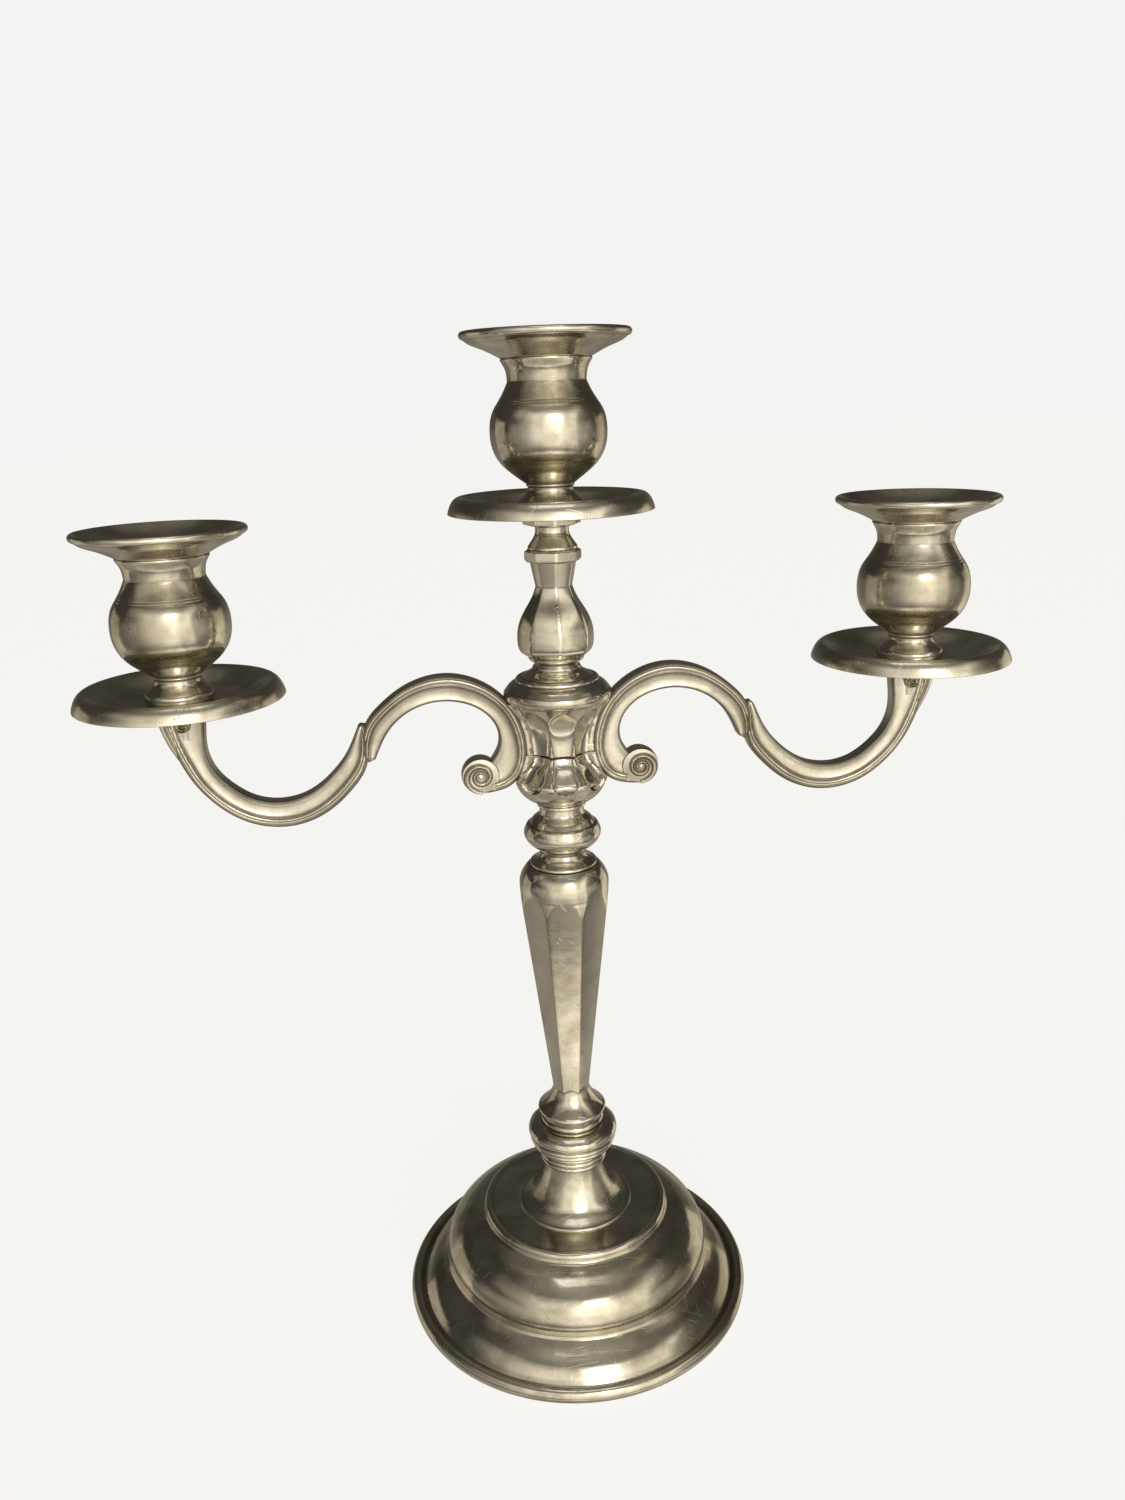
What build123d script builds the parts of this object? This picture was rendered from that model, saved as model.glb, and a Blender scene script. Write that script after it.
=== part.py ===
from build123d import *

import os

# Three-light candelabrum in silver-plated brass. Millimetres, +Z up, origin on the table at the
# centre of the foot, arms along X. Outlines are drawn as (radius, height) and spun about the stem.

# Driving dimensions
FOOT_RADIUS = 66.0
ARM_REACH = 125.3
CENTRE_SEAT_Z = 299.8
SIDE_SEAT_Z = 243.6
CANDLE_BORE_RADIUS = 11.25
CANDLE_BORE_FLOOR = 22.5
CANDLE_BORE_TOP = 46.0

# Foot
FELT_THICKNESS = 1.2
FELT_RADIUS = 63.4
COVER_THICKNESS = 0.8
COVER_RADIUS = 64.0
RIM_BOTTOM_Z = 0.4
PLATE_Z = 36.2
SHEET = 1.0

# Heights at which the pieces of the stem meet
PEDESTAL_TOP_Z = 60.4
KNOP_TOP_Z = 76.4
COLUMN_TOP_Z = 177.0
RING_KNOP_TOP_Z = 198.8
HUB_SEAM_Z = 218.5
HUB_TOP_Z = 249.6
BALUSTER_TOP_Z = 284.6
COLLAR_TOP_Z = 296.2

# Faceting: the column shows a flat to the front, the upper stem shows an edge
FACETS = 8
FACET_ANGLE = 360 / FACETS
COLUMN_TWIST = -7.5
UPPER_TWIST = FACET_ANGLE / 2
FACETED_BLANK_WIDTH = 60.0

# Flutes of the hub and the ribs that back the arms
FLUTES = 8
FLUTE_RADIUS = 2.6
SEAT_RIB_WIDTH = 7.6
SEAT_RIB_FROM = 8.7
SEAT_RIB_TO = 15.7
HUB_CAVITY_RADIUS = 7.4
HUB_CAVITY_TOP_Z = 230.5
ARM_SOCKET_WIDTH = 9.6

# M6 rods, nuts and their holes
ROD_RADIUS = 3.0
ROD_HOLE_RADIUS = 3.3
THREAD_RADIUS = 3.05
NUT_ACROSS_FLATS = 10.0
NUT_HEIGHT = 5.0
WASHER_RADIUS = 9.5
WASHER_THICKNESS = 1.5
ROD_BOTTOM_Z = 5.0
BASE_NUT_Z = 6.0
ROD_TOP_Z = 238.0
TOP_ROD_BOTTOM_Z = 240.5
STUD_RISE = 16.0
ARM_STUD_DEPTH = 12.0

# Arms
ARM_THICKNESS = 7.4
VOLUTE_CENTRE = (28.0, 212.1)
VOLUTE_RADIUS = 6.6
VOLUTE_THICKNESS = 9.6
EYE_THICKNESS = 3.0
EYE_RADIUS = 6.2
TANG_WIDTH = 6.0
TANG_LENGTH = 15.0
ARM_PAD_RADIUS = 7.6

# Pan, cup and nozzle, with heights above the underside of the pan
PAN_SHEET = 0.8
LIP_ROUND = 0.4
NOZZLE_SHEET = 0.6
SLEEVE_CLEARANCE = 0.1
REST_GAP = 0.05
FOOT_RING_TOP = 10.2
NOZZLE_FLOOR = 0.8
LIP_Z = 48.4


class Outline:
    """Half section of a turned piece, drawn edge by edge as (radius, height)."""

    def __init__(self, *start):
        self.start = start
        self.at = start
        self.edges = []

    def line(self, *points):
        for point in points:
            self.edges.append(Line(self.at, point))
            self.at = point
        return self

    def arc(self, middle, end):
        self.edges.append(ThreePointArc(self.at, middle, end))
        self.at = end
        return self

    def curve(self, *points):
        self.edges.append(Spline(self.at, *points))
        self.at = points[-1]
        return self

    def face(self):
        if self.at != self.start:
            self.line(self.start)
        return Plane.XZ * make_face(self.edges)

    def turned(self):
        return revolve(self.face(), Axis.Z, 360)


def faceted(face, twist):
    """Eight-sided solid whose flats follow the outer edge of a half section."""
    half = extrude(face, amount=FACETED_BLANK_WIDTH / 2, both=True)
    slab = half + half.rotate(Axis.Z, 180)
    solid = slab.rotate(Axis.Z, twist)
    for step in range(1, FACETS // 2):
        solid = solid & slab.rotate(Axis.Z, twist + step * FACET_ANGLE)
    return solid


def upright(radius, low, high):
    """Cylinder on the stem's axis between two heights."""
    return Pos(0, 0, (low + high) / 2) * Cylinder(radius, high - low)


def hexagon_nut(low):
    flats = RegularPolygon(NUT_ACROSS_FLATS / 2, 6, major_radius=False)
    blank = Pos(0, 0, low) * extrude(flats, amount=NUT_HEIGHT)
    return blank - upright(THREAD_RADIUS, low - 1, low + NUT_HEIGHT + 1)


# ---------------------------------------------------------------- foot


def felt_pad():
    return upright(FELT_RADIUS, 0, FELT_THICKNESS)


def base_cover():
    return upright(COVER_RADIUS, FELT_THICKNESS, FELT_THICKNESS + COVER_THICKNESS)


def base_shell():
    """Spun foot: band, groove, brim, bulging dome, stepped ring and flat top plate."""
    shell = Outline(FOOT_RADIUS - 1.2, RIM_BOTTOM_Z)
    shell.line((FOOT_RADIUS - 0.4, RIM_BOTTOM_Z))
    shell.curve((FOOT_RADIUS, 2.4), (FOOT_RADIUS - 1.2, 4.6), (63.3, 5.1))
    shell.arc((62.4, 4.7), (61.7, 3.5))
    shell.curve((60.2, 5.4), (56.5, 9.3), (52.6, 11.9), (50.3, 14.3))
    shell.curve((50.7, 19.0), (48.8, 24.4), (44.9, 28.7), (40.2, 31.7), (36.5, 33.0))
    shell.arc((35.6, 33.6), (35.2, 34.8))
    shell.arc((34.7, 36.4), (33.6, 36.8))
    shell.line((32.6, PLATE_Z), (ROD_HOLE_RADIUS, PLATE_Z))
    shell.line((ROD_HOLE_RADIUS, PLATE_Z - SHEET), (33.8, PLATE_Z - SHEET), (34.4, 33.8), (35.4, 32.4))
    shell.curve((39.7, 30.8), (44.2, 28.0), (48.0, 23.8), (49.7, 18.9), (49.1, 13.9))
    shell.curve((52.0, 11.0), (55.8, 8.4), (59.4, 4.5), (61.7, 2.4))
    shell.arc((63.0, 3.3), (64.4, 3.4))
    shell.line((FOOT_RADIUS - 1.2, 2.8))
    return shell.turned()


def base_weight():
    """Cast-iron ballast that fills the dome, recessed below for the nut and washer."""
    floor_z = FELT_THICKNESS + COVER_THICKNESS
    washer_top = BASE_NUT_Z + NUT_HEIGHT + WASHER_THICKNESS
    weight = Outline(WASHER_RADIUS + 0.8, floor_z)
    weight.line((58.4, floor_z), (58.4, 4.0), (54.6, 8.2), (48.4, 12.6), (48.6, 19.0))
    weight.curve((46.9, 23.6), (43.4, 27.3), (39.2, 30.0), (34.0, 31.8))
    weight.line((33.0, PLATE_Z - SHEET), (ROD_HOLE_RADIUS, PLATE_Z - SHEET))
    weight.line((ROD_HOLE_RADIUS, washer_top), (WASHER_RADIUS + 0.8, washer_top))
    return weight.turned()


def base_washer():
    low = BASE_NUT_Z + NUT_HEIGHT
    high = low + WASHER_THICKNESS
    return upright(WASHER_RADIUS, low, high) - upright(ROD_HOLE_RADIUS, low - 1, high + 1)


# ---------------------------------------------------------------- stem


def pedestal():
    """Trumpet foot of the stem with a ribbed collar at its top."""
    body = Outline(ROD_HOLE_RADIUS, PLATE_Z)
    body.line((22.0, PLATE_Z))
    body.arc((21.7, 36.9), (20.9, 36.9))
    body.curve((17.2, 39.2), (13.8, 44.2), (12.0, 50.0), (11.5, 54.8))
    body.arc((12.5, 55.5), (11.9, 56.6))
    body.arc((12.6, 57.6), (11.9, 58.6))
    body.arc((12.7, 59.5), (12.2, PEDESTAL_TOP_Z))
    body.line((ROD_HOLE_RADIUS, PEDESTAL_TOP_Z))
    return body.turned()


def lower_knop():
    """Broad knop: round belts below, an eight-sided shoulder and a ringed neck above."""
    body = Outline(ROD_HOLE_RADIUS, PEDESTAL_TOP_Z)
    body.line((12.6, PEDESTAL_TOP_Z), (14.4, 61.8))
    body.arc((15.6, 62.6), (15.2, 63.6))
    body.arc((16.3, 64.5), (15.9, 65.6))
    body.arc((16.9, 67.6), (16.2, 69.6))
    body.curve((14.2, 71.0), (11.3, 71.6))
    body.arc((11.9, 72.9), (11.2, 73.9))
    body.line((11.2, KNOP_TOP_Z), (ROD_HOLE_RADIUS, KNOP_TOP_Z))
    return body.turned()


def column():
    """Tapered eight-sided column with a round shoulder above and a bell flare below."""
    shoulder = Outline(ROD_HOLE_RADIUS, 82.0)
    shoulder.line((16.2, 82.0), (16.2, 168.6))
    shoulder.arc((15.3, 173.4), (12.6, COLUMN_TOP_Z))
    shoulder.line((ROD_HOLE_RADIUS, COLUMN_TOP_Z))
    taper = Outline(0, 81.0)
    taper.line((6.0, 81.0), (15.8, 167.0), (16.6, COLUMN_TOP_Z + 2), (0, COLUMN_TOP_Z + 2))
    shaft = shoulder.turned() & faceted(taper.face(), COLUMN_TWIST)
    bell = Outline(ROD_HOLE_RADIUS, KNOP_TOP_Z)
    bell.line((12.2, KNOP_TOP_Z))
    bell.arc((12.8, 77.1), (12.2, 77.9))
    bell.curve((9.9, 80.2), (8.0, 82.8), (6.9, 85.6), (6.6, 87.6))
    bell.line((ROD_HOLE_RADIUS, 87.6))
    hollow = upright(ROD_HOLE_RADIUS, KNOP_TOP_Z - 1, COLUMN_TOP_Z + 1)
    return shaft + bell.turned() - hollow


def ring_knop():
    """Collar disc, cavetto, ring knop and the neck below the hub."""
    body = Outline(ROD_HOLE_RADIUS, COLUMN_TOP_Z)
    body.line((11.6, COLUMN_TOP_Z))
    body.arc((12.0, 177.8), (11.4, 178.4))
    body.curve((9.3, 179.6), (7.9, 181.8))
    body.arc((8.5, 183.0), (9.0, 183.4))
    body.curve((12.3, 185.9), (13.7, 189.2), (12.6, 192.2))
    body.line((11.6, 192.6))
    body.curve((10.1, 194.6), (8.2, 196.2), (7.8, RING_KNOP_TOP_Z))
    body.line((ROD_HOLE_RADIUS, RING_KNOP_TOP_Z))
    return body.turned()


# ---------------------------------------------------------------- hub


def hub_lower_blank():
    body = Outline(ROD_HOLE_RADIUS, RING_KNOP_TOP_Z)
    body.line((8.0, RING_KNOP_TOP_Z))
    body.arc((8.6, 199.7), (8.2, 200.3))
    body.curve((11.0, 201.8), (14.2, 204.6), (16.0, 208.2))
    body.arc((16.5, 209.4), (15.9, 210.4))
    body.curve((13.0, 213.6), (10.7, 216.2), (9.9, HUB_SEAM_Z))
    body.line((ROD_HOLE_RADIUS, HUB_SEAM_Z))
    return body.turned()


def hub_upper_blank():
    body = Outline(ROD_HOLE_RADIUS, HUB_SEAM_Z)
    body.line((9.9, HUB_SEAM_Z))
    body.curve((10.3, 225.0), (12.6, 231.6), (16.4, 237.2))
    body.arc((18.6, 239.4), (17.8, 241.6))
    body.curve((16.2, 243.4), (14.4, 244.4))
    body.arc((13.9, 245.6), (12.6, 245.7))
    body.curve((10.6, 247.0), (8.6, 248.4), (8.0, HUB_TOP_Z))
    body.line((ROD_HOLE_RADIUS, HUB_TOP_Z))
    return body.turned()


def flutes(low, high, distance, lean):
    """Ring of round-ended cutters that lean with the wall of the hub."""
    half = (high - low) / 2
    end = Sphere(FLUTE_RADIUS)
    cutter = Cylinder(FLUTE_RADIUS, high - low) + Pos(0, 0, half) * end + Pos(0, 0, -half) * end
    cutter = Pos(distance, 0, low + half) * Rot(0, lean, 0) * cutter
    ring = [cutter.rotate(Axis.Z, step * 360 / FLUTES) for step in range(FLUTES)]
    return ring[0].fuse(*ring[1:])


def seat_ribs(low, high):
    """Upright ribs on both sides of the hub that back the arms."""
    rib = Box(SEAT_RIB_TO - SEAT_RIB_FROM, SEAT_RIB_WIDTH, high - low)
    rib = Pos((SEAT_RIB_FROM + SEAT_RIB_TO) / 2, 0, (low + high) / 2) * rib
    return rib + rib.rotate(Axis.Z, 180)


def arm_sockets():
    """Room for both arms where they lie against the ribs."""
    socket = arm_scrolls(ARM_SOCKET_WIDTH)
    return socket + socket.rotate(Axis.Z, 180)


def hub_lower():
    body = hub_lower_blank() - flutes(low=206.5, high=222.0, distance=12.9, lean=-36)
    body = body + seat_ribs(209.6, HUB_SEAM_Z)
    body = body - upright(HUB_CAVITY_RADIUS, HUB_SEAM_Z - EYE_THICKNESS, HUB_SEAM_Z + 1)
    body = body - upright(ROD_HOLE_RADIUS, RING_KNOP_TOP_Z - 1, HUB_SEAM_Z)
    body = body - arm_sockets()
    return body - arm_tang(HUB_SEAM_Z - EYE_THICKNESS).rotate(Axis.Z, 180)


def hub_upper():
    body = hub_upper_blank() - flutes(low=216.0, high=230.0, distance=14.6, lean=22)
    body = body + seat_ribs(HUB_SEAM_Z, 236.0)
    body = body - upright(HUB_CAVITY_RADIUS, HUB_SEAM_Z - 1, HUB_CAVITY_TOP_Z)
    body = body - upright(THREAD_RADIUS, HUB_CAVITY_TOP_Z - 1, HUB_TOP_Z + 1)
    body = body - arm_sockets()
    return body - arm_tang(HUB_SEAM_Z)


# ---------------------------------------------------------------- arms


def inner_scroll():
    """C-scroll beside the hub: arched over, curled under, tapering to the junction."""
    back = Spline(
        (66.3, 218.8), (67.9, 226.0), (66.2, 232.8), (60.9, 238.8), (53.0, 244.6), (45.5, 247.6),
        (37.0, 248.4), (27.0, 245.6), (19.0, 239.8), (13.6, 232.0), (11.3, 223.0), (12.6, 213.6),
        (17.6, 207.8), (27.0, 205.5),
    )
    belly = Spline(
        (24.4, 216.6), (21.2, 222.4), (21.6, 229.0), (26.0, 235.0), (34.0, 238.8), (43.0, 239.2),
        (51.5, 236.2), (58.4, 230.0), (63.4, 220.4),
    )
    curl_end = Line((27.0, 205.5), (24.4, 216.6))
    junction = Line((63.4, 220.4), (66.3, 218.8))
    return make_face([back, curl_end, belly, junction])


def outer_scroll():
    """C-scroll under the pan: from a tip on the inner scroll, down and up to the pan."""
    back = Spline(
        (66.3, 218.8), (70.6, 212.2), (78.6, 204.2), (88.0, 199.6), (98.0, 198.6), (108.4, 201.4),
        (117.4, 207.8), (124.4, 216.6), (129.0, 227.0), (131.8, 239.6),
    )
    belly = Spline(
        (118.4, 239.6), (119.0, 227.6), (117.0, 220.6), (111.8, 214.2), (104.6, 209.4), (97.0, 207.8),
        (86.4, 210.2), (78.0, 216.6), (73.0, 222.6), (70.2, 228.0), (67.9, 233.0),
    )
    pan_end = Line((131.8, 239.6), (118.4, 239.6))
    tip = Line((67.9, 233.0), (66.3, 218.8))
    return make_face([back, pan_end, belly, tip])


def arm_scrolls(thickness):
    disc = Pos(*VOLUTE_CENTRE) * Circle(VOLUTE_RADIUS)
    band = inner_scroll() + disc + outer_scroll()
    return extrude(Plane.XZ * band, amount=thickness / 2, both=True)


def arm_tang(low):
    """Flat tang that enters the hub and ends in an eye round the tie rod."""
    middle = low + EYE_THICKNESS / 2
    tang = Pos(TANG_LENGTH / 2, 0, middle) * Box(TANG_LENGTH, TANG_WIDTH, EYE_THICKNESS)
    eye = upright(EYE_RADIUS, low, low + EYE_THICKNESS)
    return tang + eye - upright(ROD_HOLE_RADIUS, low - 1, low + EYE_THICKNESS + 1)


def arm_end():
    """Swelling at the arm's end with a round pad under the pan, drilled for the stud."""
    swell = Outline(0, 228.0)
    swell.line((4.0, 228.0))
    swell.curve((5.6, 233.0), (ARM_PAD_RADIUS, 240.6))
    swell.line((ARM_PAD_RADIUS, SIDE_SEAT_Z), (0, SIDE_SEAT_Z))
    return Pos(ARM_REACH, 0, 0) * swell.turned()


def arm(tang_low):
    """One arm pointing along +X, cut to seat against both halves of the hub."""
    disc = Plane.XZ * (Pos(*VOLUTE_CENTRE) * Circle(VOLUTE_RADIUS))
    volute = extrude(disc, amount=VOLUTE_THICKNESS / 2, both=True)
    stud_hole = upright(THREAD_RADIUS, SIDE_SEAT_Z - ARM_STUD_DEPTH, SIDE_SEAT_Z + 1)
    stud_hole = Pos(ARM_REACH, 0, 0) * stud_hole
    hub = hub_lower_blank() + hub_upper_blank()
    body = arm_scrolls(ARM_THICKNESS) + volute + arm_end()
    body = body - hub - stud_hole
    return body + arm_tang(tang_low)


def arm_stud():
    low = SIDE_SEAT_Z - ARM_STUD_DEPTH
    return Pos(ARM_REACH, 0, 0) * upright(ROD_RADIUS, low, SIDE_SEAT_Z + STUD_RISE)


# ---------------------------------------------------------------- upper stem


def baluster():
    """Eight-sided pear with a waisted neck, on a round ringed foot."""
    flat = Outline(0, 252.6)
    flat.line((9.2, 252.6))
    flat.curve((11.6, 254.6), (12.4, 258.0), (12.0, 263.0), (9.8, 268.4), (7.0, 273.4), (5.9, 276.4))
    flat.line((7.4, BALUSTER_TOP_Z), (0, BALUSTER_TOP_Z))
    foot = Outline(0, HUB_TOP_Z)
    foot.line((7.8, HUB_TOP_Z))
    foot.arc((7.5, 250.6), (8.2, 251.2))
    foot.arc((9.4, 251.9), (9.6, 253.0))
    foot.line((0, 253.0))
    body = faceted(flat.face(), UPPER_TWIST) + foot.turned()
    return body - upright(ROD_HOLE_RADIUS, HUB_TOP_Z - 1, BALUSTER_TOP_Z + 1)


def baluster_collar():
    """Eight-sided ring with a cavetto that rises to the thin neck under the pan seat."""
    ring = Outline(0, BALUSTER_TOP_Z)
    ring.line((8.2, BALUSTER_TOP_Z), (8.9, 285.4), (8.9, 288.0), (8.2, 288.8), (0, 288.8))
    neck = Outline(0, 288.6)
    neck.line((8.4, 288.6), (8.4, 289.6))
    neck.curve((6.9, 291.6), (5.7, 294.0), (5.6, COLLAR_TOP_Z))
    neck.line((0, COLLAR_TOP_Z))
    body = faceted(ring.face(), UPPER_TWIST) + neck.turned()
    return body - upright(ROD_HOLE_RADIUS, BALUSTER_TOP_Z - 1, COLLAR_TOP_Z + 1)


def pan_seat():
    """Eight-sided flange that carries the centre pan."""
    flange = Outline(0, COLLAR_TOP_Z)
    flange.line((6.4, COLLAR_TOP_Z), (9.0, 297.0), (9.0, CENTRE_SEAT_Z), (0, CENTRE_SEAT_Z))
    body = faceted(flange.face(), UPPER_TWIST)
    return body - upright(ROD_HOLE_RADIUS, COLLAR_TOP_Z - 1, CENTRE_SEAT_Z + 1)


# ---------------------------------------------------------------- lights


def pan():
    """Drip pan: dished floor, raised ring and an apron that slopes down to the edge."""
    dish = Outline(ROD_HOLE_RADIUS, 0)
    dish.line((15.5, 0))
    dish.curve((22.0, 1.0), (26.5, 4.2))
    dish.line((29.6, 5.5))
    dish.curve((32.0, 4.4), (33.5, 1.2))
    dish.line((34.1, 1.4))
    dish.curve((32.7, 4.9), (30.6, 6.6), (28.2, 6.0), (26.5, 5.2))
    dish.curve((21.4, 1.9), (14.5, PAN_SHEET))
    dish.line((ROD_HOLE_RADIUS, PAN_SHEET))
    return dish.turned()


def cup_foot():
    """Bell foot and thin neck of the cup, drilled for the stud."""
    low = PAN_SHEET + REST_GAP
    foot = Outline(THREAD_RADIUS, low)
    foot.line((10.0, low))
    foot.arc((11.0, 3.0), (10.3, 5.0))
    foot.curve((8.7, 6.4), (7.6, 8.0), (7.4, 9.2))
    foot.arc((7.9, 9.7), (7.8, FOOT_RING_TOP))
    foot.line((THREAD_RADIUS, FOOT_RING_TOP))
    return foot.turned()


def cup():
    """Round vase with a waisted neck and a flared lip, threaded boss inside."""
    boss_top = CANDLE_BORE_FLOOR - NOZZLE_FLOOR - REST_GAP
    neck_inner = CANDLE_BORE_RADIUS + NOZZLE_SHEET + SLEEVE_CLEARANCE
    vase = Outline(THREAD_RADIUS, FOOT_RING_TOP)
    vase.line((8.0, FOOT_RING_TOP))
    vase.curve(
        (11.6, 12.9), (15.9, 16.8), (18.5, 22.0), (19.0, 26.6), (17.8, 33.0), (14.8, 37.8), (12.7, 42.0)
    )
    vase.curve((13.2, 45.6), (14.9, LIP_Z))
    vase.line((14.6, LIP_Z + LIP_ROUND))
    vase.curve((13.0, 46.9), (neck_inner, 44.4))
    vase.line((neck_inner, 40.2))
    vase.curve((14.3, 37.0), (17.0, 32.6), (18.2, 26.6), (17.6, 22.0), (14.8, 17.6), (9.8, 14.0))
    vase.line((9.8, boss_top), (THREAD_RADIUS, boss_top))
    return vase.turned()


def nozzle():
    """Lift-out candle socket: sleeve with a floor, and a wide flared rim with a rolled edge."""
    outside = CANDLE_BORE_RADIUS + NOZZLE_SHEET
    sleeve_bottom = CANDLE_BORE_FLOOR - NOZZLE_FLOOR
    body = Outline(0, sleeve_bottom)
    body.line((outside, sleeve_bottom), (outside, 45.0))
    body.curve((12.8, 47.3), (14.6, 49.2))
    body.curve((17.9, 50.8), (21.3, 52.3), (24.8, 53.8), (26.2, 54.9))
    body.arc((27.4, 56.2), (26.3, 57.4))
    body.curve((21.4, 54.5), (14.2, 50.6), (CANDLE_BORE_RADIUS, CANDLE_BORE_TOP))
    body.line((CANDLE_BORE_RADIUS, CANDLE_BORE_FLOOR), (0, CANDLE_BORE_FLOOR))
    return body.turned()


def write(name, shape):
    export_step(shape, f"parts/{name}.step")


def main():
    os.makedirs("parts", exist_ok=True)
    foot = {
        "felt_pad": felt_pad(),
        "base_cover": base_cover(),
        "base_shell": base_shell(),
        "base_weight": base_weight(),
        "base_nut": hexagon_nut(BASE_NUT_Z),
        "base_washer": base_washer(),
    }
    stem = {
        "tie_rod": upright(ROD_RADIUS, ROD_BOTTOM_Z, ROD_TOP_Z),
        "pedestal": pedestal(),
        "lower_knop": lower_knop(),
        "column": column(),
        "ring_knop": ring_knop(),
        "hub_lower": hub_lower(),
        "hub_upper": hub_upper(),
        "hub_nut": hexagon_nut(HUB_SEAM_Z + EYE_THICKNESS),
        "baluster": baluster(),
        "baluster_collar": baluster_collar(),
        "pan_seat": pan_seat(),
        "top_rod": upright(ROD_RADIUS, TOP_ROD_BOTTOM_Z, CENTRE_SEAT_Z + STUD_RISE),
    }
    arms = {
        "arm_right": arm(HUB_SEAM_Z),
        "arm_left": arm(HUB_SEAM_Z - EYE_THICKNESS).rotate(Axis.Z, 180),
        "arm_stud_right": arm_stud(),
        "arm_stud_left": arm_stud().rotate(Axis.Z, 180),
    }
    for name, shape in {**foot, **stem, **arms}.items():
        write(name, shape)
    seats = {
        "left": (-ARM_REACH, SIDE_SEAT_Z),
        "centre": (0.0, CENTRE_SEAT_Z),
        "right": (ARM_REACH, SIDE_SEAT_Z),
    }
    pieces = {"pan": pan(), "cup_foot": cup_foot(), "cup": cup(), "nozzle": nozzle()}
    for side, (reach, seat) in seats.items():
        for name, shape in pieces.items():
            write(f"{name}_{side}", Pos(reach, 0, seat) * shape)


main()
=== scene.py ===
import math

import bpy
import numpy as np
from mathutils import Matrix, Vector


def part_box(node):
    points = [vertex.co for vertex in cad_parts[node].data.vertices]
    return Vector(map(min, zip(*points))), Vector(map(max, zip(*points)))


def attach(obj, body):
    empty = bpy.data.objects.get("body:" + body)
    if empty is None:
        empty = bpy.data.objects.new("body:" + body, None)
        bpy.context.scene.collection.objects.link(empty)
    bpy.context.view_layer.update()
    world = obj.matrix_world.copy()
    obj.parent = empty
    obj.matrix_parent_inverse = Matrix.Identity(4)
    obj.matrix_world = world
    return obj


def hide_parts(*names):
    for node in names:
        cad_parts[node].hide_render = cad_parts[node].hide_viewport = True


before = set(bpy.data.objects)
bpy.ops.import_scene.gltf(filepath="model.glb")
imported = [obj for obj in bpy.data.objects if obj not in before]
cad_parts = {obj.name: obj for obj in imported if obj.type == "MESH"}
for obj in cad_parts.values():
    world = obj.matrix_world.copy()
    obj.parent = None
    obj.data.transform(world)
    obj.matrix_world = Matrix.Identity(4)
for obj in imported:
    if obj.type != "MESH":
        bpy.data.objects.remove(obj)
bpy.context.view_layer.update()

# Outlines are in millimetres and meshes in metres. A piece's heights start at its own underside,
# and its place on the stem comes from the frame.
MM = 0.001
FACETS = 8
FLUTES = 8
BORE_RADIUS = 3.3
COLUMN_TWIST = math.radians(-7.5)
UPPER_TWIST = math.radians(22.5)
SIDES = ("left", "centre", "right")
FRONT = -math.pi / 2

# The camera, as the photograph was taken: place in millimetres, turns in radians
CAMERA_PLACE = (-42.4, -389.5, 337.5)
CAMERA_YAW = 0.111
CAMERA_PITCH = 0.294
CAMERA_ROLL = -0.034
LENS = 28.2
SENSOR = 36.0


# ---------------------------------------------------------------- outlines


def spline(points, step):
    """Cubic spline through points, sampled about every step millimetres."""
    p = np.array(points, float)
    span = np.linalg.norm(np.diff(p, axis=0), axis=1)
    at = np.concatenate([[0], np.cumsum(span)])
    n = len(p)
    system = np.zeros((n, n))
    right = np.zeros((n, p.shape[1]))
    system[0, 0] = system[-1, -1] = 1
    for i in range(1, n - 1):
        system[i, i - 1:i + 2] = span[i - 1], 2 * (span[i - 1] + span[i]), span[i]
        right[i] = 6 * ((p[i + 1] - p[i]) / span[i] - (p[i] - p[i - 1]) / span[i - 1])
    bend = np.linalg.solve(system, right)
    t = np.linspace(0, at[-1], max(2, math.ceil(at[-1] / step)) + 1)
    k = np.clip(np.searchsorted(at, t, side="right") - 1, 0, n - 2)
    h = span[k][:, None]
    a = (at[k + 1] - t)[:, None]
    b = (t - at[k])[:, None]
    return (
        (bend[k] * a**3 + bend[k + 1] * b**3) / (6 * h)
        + (p[k] / h - bend[k] * h / 6) * a
        + (p[k + 1] / h - bend[k + 1] * h / 6) * b
    )


def picked(line, at):
    """Points on a line at fractional places between its own points."""
    return np.stack([np.interp(at, np.arange(len(line)), c) for c in line.T], axis=1)


def resample(points, step):
    """The same line with evenly spaced points."""
    length = np.concatenate([[0], np.cumsum(np.linalg.norm(np.diff(points, axis=0), axis=1))])
    even = np.linspace(0, length[-1], max(2, math.ceil(length[-1] / step)) + 1)
    return np.stack([np.interp(even, length, c) for c in points.T], axis=1)


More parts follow.
